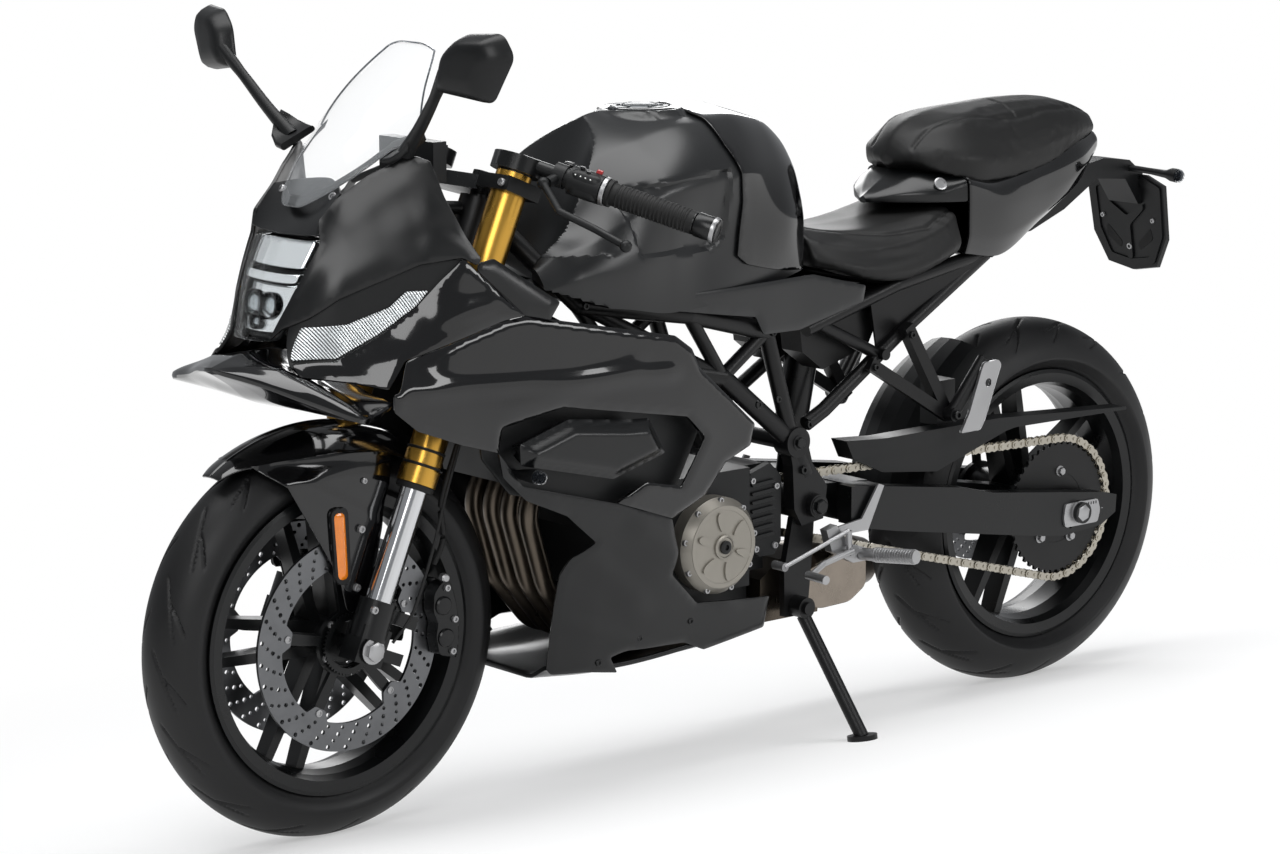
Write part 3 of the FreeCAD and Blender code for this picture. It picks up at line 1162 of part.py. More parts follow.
gear_linkage = joined(
    bar((-175, 172.3, 329), (-175, 186, 329), 9, "gear_pivot"),
    run_of([(-175, 182, 329), (-110, 186, 318), (-72, 196, 306)], 5, "gear_lever"),
    bar((-72, 190, 306), (-68, 236, 306), 7, "gear_toe"),
    bar((-170, 180, 332), (-168, 180, 362), 5, "gear_arm"),
    bar((-168, 180, 362), (-46, 164, 318), 3.5, "gear_rod"),
    bar((-46, 140, 318), (-46, 166, 318), 7, "gear_shaft"), stem="gear_linkage")
brake_pedal = joined(
    bar((-175, -186, 329), (-175, -172.3, 329), 9, "pedal_pivot"),
    run_of([(-175, -182, 329), (-110, -186, 318), (-72, -196, 306)], 6, "pedal"),
    bar((-72, -236, 306), (-72, -190, 306), 8, "pedal_toe"), stem="brake_pedal")
finish("foot_controls", grouped(gear_linkage, brake_pedal))

# Side stand, drawn deployed


def floor_at(y):
    """Height of the floor in the upright frame, out at y on the left."""
    rise = LEANED.Base.z / math.cos(LEAN)
    return y * math.tan(LEAN) - (LEANED.Base.y * 0 + rise)


FOOT_Y = 258
FOOT_POINT = Vector(-128, FOOT_Y, floor_at(FOOT_Y) + 5)
lean_up = Vector(0, -math.sin(LEAN), math.cos(LEAN))
pad = bar(FOOT_POINT - lean_up * 5, FOOT_POINT + lean_up * 3, 24, "stand_pad")
finish("side_stand", without(
    joined(pad, bar(FOOT_POINT, STAND_PIVOT + Vector(-3, 0, -14), "stand_r", "stand_leg"),
           bar(STAND_PIVOT + Vector(0, -13.7, 0), STAND_PIVOT + Vector(0, 12, 0), 17, "stand_eye")),
    bar(STAND_PIVOT + Vector(0, -40, 0), STAND_PIVOT + Vector(0, 40, 0), 6.05, "stand_bore"),
    stem="side_stand"))


# Check and write

doc.recompute()
broken = [o.Name for o in doc.Objects if "Invalid" in o.State or "Error" in o.State]
if broken:
    raise SystemExit("failed: " + ", ".join(broken))
os.makedirs("parts", exist_ok=True)
for label, feature in nodes.items():
    shape = feature.Shape
    if shape.isNull() or not shape.isValid() or not shape.Solids:
        raise SystemExit("bad shape: " + label)
for label, feature in nodes.items():
    feature.Shape.exportStep(f"parts/{label}.step")
print(len(nodes), "sub-parts")
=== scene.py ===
"""Dresses the sport bike: finishes, formed panels, seats, tyre tread, lamps and small fittings."""

import math

import bmesh
import bpy
import numpy as np
from mathutils import Matrix, Vector
from mathutils.geometry import delaunay_2d_cdt


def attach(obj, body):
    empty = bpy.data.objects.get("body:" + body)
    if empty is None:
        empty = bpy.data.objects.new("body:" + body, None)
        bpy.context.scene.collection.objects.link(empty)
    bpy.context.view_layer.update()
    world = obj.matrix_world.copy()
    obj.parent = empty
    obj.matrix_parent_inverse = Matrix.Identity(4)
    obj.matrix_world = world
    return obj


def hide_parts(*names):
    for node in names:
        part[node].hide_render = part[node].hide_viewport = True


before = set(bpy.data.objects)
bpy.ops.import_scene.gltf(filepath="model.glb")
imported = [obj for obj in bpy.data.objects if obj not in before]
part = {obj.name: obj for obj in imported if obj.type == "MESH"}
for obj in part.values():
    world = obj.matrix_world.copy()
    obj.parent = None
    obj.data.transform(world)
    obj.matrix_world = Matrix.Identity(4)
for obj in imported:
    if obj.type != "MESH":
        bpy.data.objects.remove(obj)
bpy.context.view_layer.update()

# Drawn upright in millimetres, then leaned onto the stand, as the part's source does.
LEAN = math.radians(10)
RAKE = math.radians(23)
FRONT_AXLE = np.array([725.0, 0.0, 300.0])
REAR_AXLE = np.array([-725.0, 0.0, 312.0])
FRONT_CROWN, REAR_CROWN = 62.0, 82.0
SIDE_SHIFT = -(FRONT_CROWN + REAR_CROWN) / 2 * math.sin(LEAN)
LIFT = REAR_CROWN * (1 - math.cos(LEAN))


def leaned(points):
    """Upright millimetres to the row's metres: turned about X by the lean, then shifted onto the floor."""
    p = np.asarray(points, float)
    y = p[..., 1] * math.cos(LEAN) + p[..., 2] * math.sin(LEAN) + SIDE_SHIFT
    z = -p[..., 1] * math.sin(LEAN) + p[..., 2] * math.cos(LEAN) + LIFT
    return np.stack([p[..., 0], y, z], -1) / 1000


def on_fork(points):
    """Fork leg millimetres (origin on the front axle, Z up the legs) to upright millimetres."""
    p = np.asarray(points, float)
    x = FRONT_AXLE[0] + p[..., 0] * math.cos(RAKE) - p[..., 2] * math.sin(RAKE)
    z = FRONT_AXLE[2] + p[..., 0] * math.sin(RAKE) + p[..., 2] * math.cos(RAKE)
    return np.stack([x, p[..., 1], z], -1)


# Shapes


def eased(knots, values, at, crease=0.0):
    """Monotone cubic through (knots, values) read at the places at, drawn towards straight runs by crease.
    Each row of a table of knots or values is a curve of its own."""
    at = np.asarray(at, float).ravel()
    k = np.broadcast_to(np.asarray(knots, float), (at.size, np.shape(knots)[-1]))
    v = np.broadcast_to(np.asarray(values, float), k.shape)
    step = np.diff(k, axis=1)
    slope = np.diff(v, axis=1) / step
    before, after = slope[:, :-1], slope[:, 1:]
    same = before * after > 0
    inner = np.where(same, 2 * before * after / np.where(same, before + after, 1), 0)
    tangent = np.concatenate([slope[:, :1], inner, slope[:, -1:]], 1)
    i = np.clip((k <= at[:, None]).sum(1) - 1, 0, k.shape[1] - 2)
    row = np.arange(at.size)
    h = step[row, i]
    t = np.clip((at - k[row, i]) / h, 0, 1)
    curve = ((2 * t**3 - 3 * t**2 + 1) * v[row, i] + (t**3 - 2 * t**2 + t) * h * tangent[row, i]
             + (3 * t**2 - 2 * t**3) * v[row, i + 1] + (t**3 - t**2) * h * tangent[row, i + 1])
    straight = v[row, i] + (v[row, i + 1] - v[row, i]) * t
    return curve * (1 - crease) + straight * crease


def section_rows(stations, x):
    """The rows of a set of cross-sections, (x, [(y, z), ...]), read at the places x: y and z tables."""
    order = sorted(stations, key=lambda s: s[0])
    knots = np.array([s[0] for s in order], float)
    table = np.array([s[1] for s in order], float)
    return [np.stack([eased(knots, row, x) for row in table[:, :, c].T], 1) for c in (0, 1)]


def side_height(stations, x, z, crease=0.35):
    """How far out a side surface stands at (x, z): its rows are read at x, then a curve through them at z."""
    rows_y, rows_z = section_rows(stations, x)
    return eased(rows_z[:, ::-1], rows_y[:, ::-1], z, crease)


def inside(loop, x, y):
    """Whether points are within a closed outline, by counting the edges that a line to the right crosses."""
    a = np.asarray(loop, float)
    b = np.roll(a, -1, 0)
    x, y = np.ravel(x)[:, None], np.ravel(y)[:, None]
    crosses = (a[:, 1] > y) != (b[:, 1] > y)
    at = a[:, 0] + (y - a[:, 1]) * (b[:, 0] - a[:, 0]) / np.where(b[:, 1] == a[:, 1], 1e-9, b[:, 1] - a[:, 1])
    return (crosses & (x < at)).sum(1) % 2 == 1


def edge_distance(loop, x, y):
    """Distance of points to the nearest edge of a closed outline."""
    a = np.asarray(loop, float)
    b = np.roll(a, -1, 0)
    p = np.stack([np.ravel(x), np.ravel(y)], 1)[:, None]
    run = b - a
    t = np.clip(((p - a) * run).sum(2) / np.maximum((run**2).sum(1), 1e-9), 0, 1)
    return np.sqrt((((a + t[..., None] * run) - p) ** 2).sum(2)).min(1)


def rounded(loop, radius, parts=4):
    """An outline with its corners rounded off by quadratic curves that start a radius from each corner."""
    loop = np.asarray(loop, float)
    before, after = np.roll(loop, 1, 0), np.roll(loop, -1, 0)
    out = []
    for a, p, b in zip(before, loop, after):
        ra = min(radius, np.hypot(*(a - p)) / 2.2)
        rb = min(radius, np.hypot(*(b - p)) / 2.2)
        start = p + (a - p) / np.hypot(*(a - p)) * ra
        end = p + (b - p) / np.hypot(*(b - p)) * rb
        t = np.linspace(0, 1, parts)[:, None]
        out.append((1 - t) ** 2 * start + 2 * t * (1 - t) * p + t**2 * end)
    return np.concatenate(out)


def fill(outline, step, holes=()):
    """Fills a flat outline with triangles: its edge is cut at the step and a staggered grid lies inside."""
    loops = [np.asarray(outline, float)] + [np.asarray(h, float) for h in holes]
    points, edges = [], []
    for loop in loops:
        cuts = [a + (b - a) * (np.arange(n) / n)[:, None] for a, b in zip(loop, np.roll(loop, -1, 0))
                for n in [max(1, int(np.hypot(*(b - a)) / step))]]
        ring = np.concatenate(cuts)
        first = sum(len(p) for p in points)
        edges += [(first + i, first + (i + 1) % len(ring)) for i in range(len(ring))]
        points.append(ring)
    low, high = loops[0].min(0), loops[0].max(0)
    x, y = np.meshgrid(np.arange(low[0], high[0], step), np.arange(low[1], high[1], step * 0.87))
    x[1::2] += step / 2
    keep = inside(loops[0], x, y) & (edge_distance(loops[0], x, y) > step * 0.55)
    for hole in loops[1:]:
        keep &= ~inside(hole, x, y) & (edge_distance(hole, x, y) > step * 0.55)
    points.append(np.stack([x.ravel()[keep], y.ravel()[keep]], 1))
    flat = np.concatenate(points)
    found, _, faces, *_ = delaunay_2d_cdt([Vector(p) for p in flat], edges, [], 1, 1e-4)
    found = np.array([tuple(p) for p in found])
    faces = np.array(faces)
    middle = found[faces].mean(1)
    for hole in loops[1:]:
        out = ~inside(hole, middle[:, 0], middle[:, 1])
        faces, middle = faces[out], middle[out]
    turned = np.cross(found[faces[:, 1]] - found[faces[:, 0]], found[faces[:, 2]] - found[faces[:, 0]]) < 0
    faces[turned] = faces[turned][:, ::-1]
    return found, faces


def grid_faces(rows, columns, wrap_rows=False, wrap_columns=False):
    """Four-sided faces of a grid of points, joined round where a direction closes on itself."""
    i, j = np.meshgrid(np.arange(rows - (not wrap_rows)), np.arange(columns - (not wrap_columns)),
                       indexing="ij")
    i, j = i.ravel(), j.ravel()
    i2, j2 = (i + 1) % rows, (j + 1) % columns
    return np.stack([i * columns + j, i2 * columns + j, i2 * columns + j2, i * columns + j2], 1)


def placed(name, data):
    """A new object of the scene, at its origin."""
    thing = bpy.data.objects.new(name, data)
    bpy.context.scene.collection.objects.link(thing)
    return thing


def add_modifier(piece, kind, **settings):
    """Adds a modifier with its settings."""
    modifier = piece.modifiers.new(kind.lower(), kind)
    for name, value in settings.items():
        setattr(modifier, name, value)
    return modifier


def new_piece(name, points, faces, finish, body="chassis", sharp=38, wall=0.0, bevel=0.0):
    """A piece from upright millimetres. A wall gives it thickness inwards, a bevel rounds its edges."""
    mesh = bpy.data.meshes.new(name)
    mesh.from_pydata(leaned(points).tolist(), [], [tuple(int(i) for i in f) for f in faces])
    mesh.materials.append(finish)
    mesh.shade_smooth()
    mesh.set_sharp_from_angle(angle=math.radians(sharp))
    piece = placed(name, mesh)
    if wall:
        add_modifier(piece, "SOLIDIFY", thickness=wall / 1000, offset=-1)
    if bevel:
        add_modifier(piece, "BEVEL", width=bevel / 1000, segments=2, limit_method="ANGLE",
                     angle_limit=math.radians(50))
    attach(piece, body)
    return piece


def stands_for(node, slot, *pieces):
    """The pieces replace one node of the part, which is hidden. The slot is not used."""
    for piece in pieces:
        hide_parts(node)


def two_sided(points, faces):
    """A left-hand shape together with its mirror image on the right, whose faces are turned round."""
    points, faces = np.asarray(points, float), np.asarray(faces)
    other = points * [1, -1, 1]
    return np.concatenate([points, other]), np.concatenate([faces, faces[:, ::-1] + len(points)])


def gathered(*shapes):
    """Several (points, faces) shapes as one. Faces may have three or four corners."""
    points, faces, first = [], [], 0
    for p, f in shapes:
        p = np.asarray(p, float).reshape(-1, 3)
        points.append(p)
        faces += [tuple(int(i) + first for i in face) for face in f]
        first += len(p)
    return np.concatenate(points), faces


def panel(name, stations, outline, finish, thick=5.0, inset=0.0, step=9.0, corner=4.0, shape=None):
    """A moulded panel on both sides: the outline is filled, each point takes its height from the side
    surface, and shape(x, z) may add creases and recesses. It faces outwards and gets a wall inwards."""
    flat, faces = fill(rounded(outline, corner), step)
    x, z = flat[:, 0], flat[:, 1]
    y = side_height(stations, x, z) - inset
    if shape:
        y = y + shape(x, z)
    points, faces = two_sided(np.stack([x, y, z], 1), faces[:, ::-1])
    return new_piece(name, points, faces, finish, wall=thick, bevel=min(1.2, thick / 3))


def frames(path):
    """Directions across a path of points: two unit vectors at each point, square to the run."""
    run = np.gradient(path, axis=0)
    run /= np.linalg.norm(run, axis=1)[:, None]
    side = np.cross(run, [0.13, 0.21, 0.97])
    side /= np.linalg.norm(side, axis=1)[:, None]
    return side, np.cross(run, side)


def curve_through(points):
    """A smooth curve through the points (Catmull-Rom), with eight parts to each span."""
    p = np.asarray(points, float)
    p = np.concatenate([[2 * p[0] - p[1]], p, [2 * p[-1] - p[-2]]])
    t = (np.arange(8) / 8)[:, None]
    spans = [0.5 * (2 * b + (c - a) * t + (2 * a - 5 * b + 4 * c - d) * t**2 + (3 * b - a - 3 * c + d) * t**3)
             for a, b, c, d in zip(p, p[1:], p[2:], p[3:])]
    return np.concatenate(spans + [p[-2:-1]])


def tube(path, radius, sides=10):
    """A round tube along a path. The radius may change along it. Each end closes on a point."""
    path = np.asarray(path, float)
    side, over = frames(path)
    radius = np.broadcast_to(np.asarray(radius, float), len(path))
    turn = np.arange(sides) / sides * 2 * math.pi
    ring = (path[:, None] + radius[:, None, None] * (np.cos(turn)[:, None] * side[:, None]
                                                      + np.sin(turn)[:, None] * over[:, None]))
    ring = np.concatenate([np.repeat(path[None, :1], sides, 1), ring.reshape(1, -1, 3),
                           np.repeat(path[None, -1:], sides, 1)], 1).reshape(-1, 3)
    faces = grid_faces(len(path) + 2, sides, wrap_columns=True)
    faces = [f for f in faces if len({tuple(np.round(ring[i], 4)) for i in f}) > 2]
    return closed_poles(ring, faces)


def closed_poles(points, faces):
    """Merges points that lie on each other, so that poles and seams close, and drops vanished faces."""
    points = np.asarray(points, float)
    _, first, back = np.unique(np.round(points, 3), axis=0, return_index=True, return_inverse=True)
    out = []
    for face in faces:
        ring = []
        for i in back.ravel()[np.asarray(face)]:
            if i not in ring:
                ring.append(int(i))
        if len(ring) > 2:
            out.append(tuple(ring))
    return points[first], out


def lathe(profile, start, aim, sides=48):
    """A turned shape: (radius, along) points carried round the axis from start along aim."""
    profile = np.asarray(profile, float)
    aim = np.asarray(aim, float) / np.linalg.norm(aim)
    side = np.cross(aim, [0.31, 0.17, 0.93])
    side = side / np.linalg.norm(side)
    over = np.cross(aim, side)
    turn = np.arange(sides) / sides * 2 * math.pi
    ring = np.cos(turn)[:, None] * side + np.sin(turn)[:, None] * over
    points = (np.asarray(start, float) + profile[:, None, 1:2] * aim + profile[:, None, 0:1] * ring[None])
    faces = grid_faces(len(profile), sides, wrap_columns=True)
    return closed_poles(points.reshape(-1, 3), faces)


def hull(stations, columns=40, step=8.0, crease=0.35, bottom=True):
    """A closed body from half cross-sections (x, [(y, z), ...]), top middle to bottom middle: smooth along X
    and round each section, mirrored, with both ends closed by their middle point."""
    order = sorted(stations, key=lambda s: s[0])
    x = np.linspace(order[0][0], order[-1][0], max(3, int((order[-1][0] - order[0][0]) / step)))
    rows_y, rows_z = section_rows(order, x)
    length = arc_length(rows_y, rows_z)
    t = np.linspace(0, 1, columns)
    y, z = (np.stack([eased(length, rows, length[:, -1] * v, crease) for v in t], 1)
            for rows in (rows_y, rows_z))
    if not bottom:
        return x, y, z
    y = np.concatenate([y, -y[:, -2:0:-1]], 1)
    z = np.concatenate([z, z[:, -2:0:-1]], 1)
    return capped(np.stack([np.repeat(x[:, None], y.shape[1], 1), y, z], -1), turned=True)


def arc_length(y, z):
    """How far each point of a row lies along the row's own run."""
    return np.concatenate([np.zeros((len(y), 1)), np.cumsum(np.hypot(np.diff(y), np.diff(z)), 1)], 1)


def capped(grid, turned=False):
    """A closed body from a grid of rings: each end closes on the middle point of its ring."""
    ends = [np.repeat(grid[k].mean(0)[None], grid.shape[1], 0)[None] for k in (0, -1)]
    grid = np.concatenate([ends[0], grid, ends[1]])
    faces = grid_faces(grid.shape[0], grid.shape[1], wrap_columns=True)
    return closed_poles(grid.reshape(-1, 3), faces[:, ::-1] if turned else faces)


def smooth_step(value, low, high):
    """Rises from 0 at low to 1 at high with flat ends."""
    t = np.clip((value - low) / (high - low), 0, 1)
    return t * t * (3 - 2 * t)


# Colours and finishes


def linear(code):
    """sRGB hex text to linear colour with alpha 1."""
    channels = [int(code[i : i + 2], 16) / 255 for i in (1, 3, 5)]
    return [c / 12.92 if c <= 0.04045 else ((c + 0.055) / 1.055) ** 2.4 for c in channels] + [1.0]


def add_node(tree, kind, settings=(), **links):
    """Adds a shader node. settings sets its properties, and links joins its sockets or sets their values."""
    node = tree.nodes.new(kind)
    for name, value in dict(settings).items():
        setattr(node, name, value)
    for name, value in links.items():
        number = name[0] == "i" and name[1:].isdigit()
        socket = node.inputs[int(name[1:]) if number else name.replace("_", " ")]
        if isinstance(value, bpy.types.NodeSocket):
            tree.links.new(value, socket)
        else:
            socket.default_value = value
    return node


def finish(name, code, roughness, grain_mm, depth_mm, metallic=0.0, spread=0.12, shade=0.25, patch_mm=110.0,
           **sockets):
    """A finish whose roughness and colour drift in broad patches (patch_mm) under a fine raised grain."""
    material = bpy.data.materials.new(name)
    material.use_nodes = True
    tree = material.node_tree
    shader = tree.nodes["Principled BSDF"]
    shader.inputs["Metallic"].default_value = metallic
    for socket, value in sockets.items():
        shader.inputs[socket.replace("_", " ")].default_value = value
    place = add_node(tree, "ShaderNodeTexCoord").outputs["Object"]
    patch = add_node(tree, "ShaderNodeTexNoise", Vector=place, Scale=1000 / patch_mm, Detail=4.0)
    rough = add_node(tree, "ShaderNodeMapRange", i0=patch.outputs["Fac"], i1=0.3, i2=0.7,
                     i3=max(roughness - spread / 2, 0.02), i4=roughness + spread / 2)
    tree.links.new(rough.outputs[0], shader.inputs["Roughness"])
    base = linear(code)[:3]
    mix = add_node(tree, "ShaderNodeMix", {"data_type": "RGBA"}, i0=patch.outputs["Fac"],
                   i6=[c * (1 - shade) for c in base] + [1.0],
                   i7=[min(c * (1 + shade), 1) for c in base] + [1.0])
    tree.links.new(mix.outputs[2], shader.inputs["Base Color"])
    fine = add_node(tree, "ShaderNodeTexNoise", Vector=place, Scale=1000 / grain_mm, Detail=2.0)
    bump = add_node(tree, "ShaderNodeBump", Strength=0.6, Distance=depth_mm / 1000,
                    Height=fine.outputs["Fac"])
    tree.links.new(bump.outputs[0], shader.inputs["Normal"])
    return material


# Sprayed ABS under clear lacquer: sharp dark reflections with a faint orange peel.
GLOSS_BLACK = finish("lacquered_black_abs", "#050506", 0.1, 9, 0.012, spread=0.03, shade=0.1,
                     Specular_IOR_Level=0.3, Coat_Weight=0.55, Coat_Roughness=0.03)
# Moulded ABS with a fine spark-eroded texture: broad soft highlights.
SATIN_BLACK = finish("moulded_black_abs", "#0e0f10", 0.42, 1.6, 0.05, Specular_IOR_Level=0.3)
# Satin lacquered panels: dark grey with a wide, even sheen.
SATIN_PANEL = finish("satin_lacquered_abs", "#0b0c0d", 0.3, 5, 0.01, spread=0.05, shade=0.08,
                     Specular_IOR_Level=0.3, Coat_Weight=0.2, Coat_Roughness=0.22)
# Dark grey paint with little lacquer: wide and rather dull highlights.
TANK_GREY = finish("satin_dark_grey_paint", "#121314", 0.33, 4, 0.012, spread=0.05, shade=0.1,
                   Specular_IOR_Level=0.35, Coat_Weight=0.2, Coat_Roughness=0.28)
# Powder coat: slightly pebbled and half matt.
FRAME_BLACK = finish("black_powder_coat", "#0a0a0b", 0.38, 2.2, 0.08, Specular_IOR_Level=0.3)
# Painted casting: smoother than powder coat, with a soft gleam along its edges.
CAST_BLACK = finish("black_painted_cast_alloy", "#08090a", 0.3, 3, 0.06, Specular_IOR_Level=0.35)
# Die-cast cover, shot-blasted: warm grey with a coarse sparkle.
ENGINE_GREY = finish("die_cast_aluminium", "#8e8a82", 0.42, 2.0, 0.12, metallic=0.7)
# Painted rough casting: nearly matt, so that joints and fins sink into shadow.
ENGINE_DARK = finish("black_painted_cylinders", "#0d0e0f", 0.45, 2.2, 0.12, Specular_IOR_Level=0.3)
# Grips, hoses and seals: matt with a dry grain.
RUBBER = finish("moulded_rubber", "#0c0c0c", 0.62, 2.4, 0.12, Specular_IOR_Level=0.35)
# Tyre compound: matt, a little brighter where the mould has polished it.
TYRE_RUBBER = finish("vulcanised_tyre_rubber", "#0e0e0f", 0.5, 4, 0.08, spread=0.12, Specular_IOR_Level=0.35)
# Anodised tube: clean gold metal with faint turning marks.
GOLD = finish("gold_anodised_aluminium", "#c79a45", 0.27, 40, 0.01, metallic=1.0, spread=0.06, shade=0.06)
# Fork tubes: one narrow bright line along a dark mirror.
CHROME = finish("hard_chromed_steel", "#c9cacc", 0.12, 40, 0.005, metallic=1.0, spread=0.05, shade=0.04)
# Ground disc: grey with a short grain that takes the light unevenly.
DISC_STEEL = finish("ground_stainless_steel", "#6e6f71", 0.34, 2.4, 0.03, metallic=1.0, patch_mm=30)
# Blasted alloy fittings and screws: bright, never like a mirror.
SILVER = finish("bead_blasted_aluminium", "#a5a5a6", 0.36, 1.6, 0.06, metallic=0.9)
# Header pipes: brown and straw tints where the steel has been hot, on a base colour darkened as painted shade
# for the shadow the pipes sit in.
STEEL = finish("heat_tinted_steel_with_painted_shade", "#5c544b", 0.32, 5, 0.04, metallic=0.95, shade=0.35,
               patch_mm=60)
# Chain plates: warm bright metal.
NICKEL = finish("nickel_plated_steel", "#aaa59a", 0.3, 4, 0.03, metallic=1.0)
# Seat cover: a leather-like grain breaks up its highlights.
VINYL = finish("grained_seat_vinyl", "#090909", 0.5, 1.9, 0.22, spread=0.08, Specular_IOR_Level=0.35)
# Reflector: orange prisms with a faint painted glow from emission, though the reflector is no lamp.
AMBER = finish("amber_prismatic_reflector", "#d67404", 0.16, 2.2, 0.25, shade=0.2, patch_mm=14,
               Coat_Weight=0.8, Emission_Color=linear("#d67404"), Emission_Strength=0.05)
# Tail lamp: deep red under a glassy surface.
RED_LENS = finish("red_lamp_polycarbonate", "#7a0d0d", 0.15, 3, 0.2, shade=0.3, Coat_Weight=1.0)
# Lamp glass: clear, with thin reflections.
CLEAR = finish("clear_polycarbonate", "#f2f6f7", 0.03, 60, 0.004, spread=0.02, shade=0.02,
               Transmission_Weight=1.0, IOR=1.12, Alpha=0.5)
# Tinted glass of the indicators; on the screen's polished edge the same dark tint is painted shade, for the
# dark line the clear edge shows.
SMOKE_AND_EDGE_SHADE = finish("smoked_polycarbonate_and_painted_edge_shade", "#30343a", 0.05, 60, 0.004, spread=0.02, shade=0.05,
               Transmission_Weight=0.8, IOR=1.15, Alpha=0.85)
# Reflector bowl: a bright mirror with faint ripples.
MIRROR_CHROME = finish("vacuum_metallised_reflector", "#e4e6e8", 0.07, 6, 0.02, metallic=1.0, shade=0.05)
# Optical glass in front of a bright bowl: mostly mirror-like, a little dark at its middle.
PROJECTOR = finish("projector_glass", "#aeb4b8", 0.06, 8, 0.02, metallic=0.75, shade=0.5, patch_mm=12,
                   Coat_Weight=1.0)


def ribbed_guide(name, pitch_mm):
    """Ribbed light guide: bands across the strip, painted dark shade between painted bright glints on the
    ribs; the bands are its relief too.
    """
    material = finish(name, "#c8cdd0", 0.14, 6, 0.01, metallic=0.6)
    tree = material.node_tree
    shader = tree.nodes["Principled BSDF"]
    place = add_node(tree, "ShaderNodeTexCoord").outputs["Object"]
    turned = add_node(tree, "ShaderNodeMapping", Vector=place, Rotation=(0, math.radians(-30), 0))
    bands = add_node(tree, "ShaderNodeTexWave", {"bands_direction": "X"}, Vector=turned.outputs[0],
                     Scale=2 * math.pi / (20 * pitch_mm / 1000), Distortion=0.0)
    # Painted highlight and shade: the colour swings from dark to near white across each rib.
    mix = add_node(tree, "ShaderNodeMix", {"data_type": "RGBA"}, i0=bands.outputs["Fac"],
                   i6=linear("#202325"), i7=linear("#f4f6f7"))
    tree.links.new(mix.outputs[2], shader.inputs["Base Color"])
    relief = add_node(tree, "ShaderNodeBump", Strength=0.8, Distance=0.0006, Height=bands.outputs["Fac"])
    tree.links.new(relief.outputs[0], shader.inputs["Normal"])
    return material


# Moulded acrylic light guide with a rib every 3.4 mm: painted glints and painted shade in fine bright and
# dark bars.
RIBBED_GUIDE = ribbed_guide("ribbed_acrylic_guide", 3.4)
# Brushed cap: darker alloy than the fasteners, so that it keeps its form under the overhead light.
CAP_ALLOY = finish("brushed_cap_alloy", "#56585a", 0.42, 1.4, 0.05, metallic=0.85, patch_mm=18)
# Heat shield of bare titanium sheet: warm grey with brown tinges.
SHIELD = finish("heated_titanium_sheet", "#8a8177", 0.3, 6, 0.03, metallic=1.0, shade=0.25, patch_mm=30)
# Blown acrylic sheet: nearly all of what lies behind it shows, with bright edges and soft reflections.
SCREEN_CLEAR = finish("blown_clear_acrylic", "#dfe3e6", 0.04, 90, 0.003, spread=0.02, shade=0.02, Alpha=0.11,
                      Coat_Weight=0.6)
# Switch marks, printed and moulded: flat colour without gloss.
WHITE_MARK = finish("white_switch_print", "#c9cac8", 0.5, 2, 0.02)
RED_MARK = finish("red_switch_plastic", "#a3161a", 0.4, 2, 0.02)
FINISHES = {
    GLOSS_BLACK: ["nose_fairing", "chin_splitter", "side_fairing_upper", "tank_rear_cover", "tail_fairing",
                  "front_fender"],
    SATIN_BLACK: ["side_fairing_lower", "lock_panels", "mirrors", "sprocket_cover", "plate_holder",
                  "rear_guards",
                  "nose_stay", "bar_controls"],
    TANK_GREY: ["fuel_tank"],
    FRAME_BLACK: ["frame", "subframe", "rear_sprocket", "side_stand"],
    CAST_BLACK: ["swingarm", "front_rim", "rear_rim", "fork_feet", "fork_clamps", "handlebars",
                 "front_calipers",
                 "radiator"],
    ENGINE_DARK: ["engine"],
    ENGINE_GREY: ["engine_covers"],
    TYRE_RUBBER: ["front_tyre", "rear_tyre"],
    GOLD: ["fork_outers"],
    CHROME: ["stanchions"],
    DISC_STEEL: ["front_discs", "rear_disc"],
    SILVER: ["footpegs", "foot_controls"],
    CAP_ALLOY: ["fuel_cap"],
    STEEL: ["exhaust"],
    NICKEL: ["chain"],
    VINYL: ["rider_seat", "pillion_seat"],
    AMBER: ["fender_reflectors"],
    RED_LENS: ["tail_light"],
    CLEAR: ["windscreen", "headlight", "light_strips", "indicators"],
}
for coat, names in FINISHES.items():
    for name in names:
        part[name].data.materials.clear()
        part[name].data.materials.append(coat)

# Bodywork. FACE and SIDE are the outer surfaces that the part's source uses for the nose and the sides.

FACE = [
    (845, [(38, 775), (42, 764), (50, 752), (86, 732), (98, 724), (110, 714)]),
    (816, [(68, 822), (70, 812), (80, 784), (102, 735), (112, 722), (128, 706)]),
    (776, [(81, 926), (92, 872), (116, 814), (128, 733), (142, 718), (158, 698)]),
    (750, [(84, 952), (108, 880), (128, 828), (140, 746), (158, 722), (180, 690)]),
    (708, [(104, 987), (130, 895), (150, 845), (158, 775), (190, 730), (208, 688)]),
    (666, [(131, 1012), (155, 900), (172, 863), (175, 805), (200, 745), (214, 680)]),
    (637, [(160, 1010), (170, 915), (184, 869), (188, 835), (206, 755), (217, 672)]),
    (600, [(182, 965), (188, 905), (197, 871), (200, 862), (211, 765), (220, 665)]),
    (560, [(194, 920), (199, 885), (207, 855), (209, 840), (215, 770), (222, 658)]),
    (500, [(200, 870), (208, 840), (214, 815), (216, 800), (221, 768), (224, 650)]),
]
NOSE_LINE = [(776, 926), (750, 952), (708, 986), (683, 1000), (667, 1011), (652, 1014), (637, 1007),
             (622, 955),
             (597, 899), (579, 866), (586, 858), (608, 870), (666, 863), (708, 844), (772, 817), (804, 790),
             (830, 774), (843, 757), (816, 820), (797, 858), (778, 893)]
CHEEK_LINE = [(836, 727), (779, 731), (725, 762), (673, 801), (640, 838), (605, 869), (584, 846), (510, 779),
              (548, 775), (706, 731), (735, 692), (772, 702), (834, 712)]
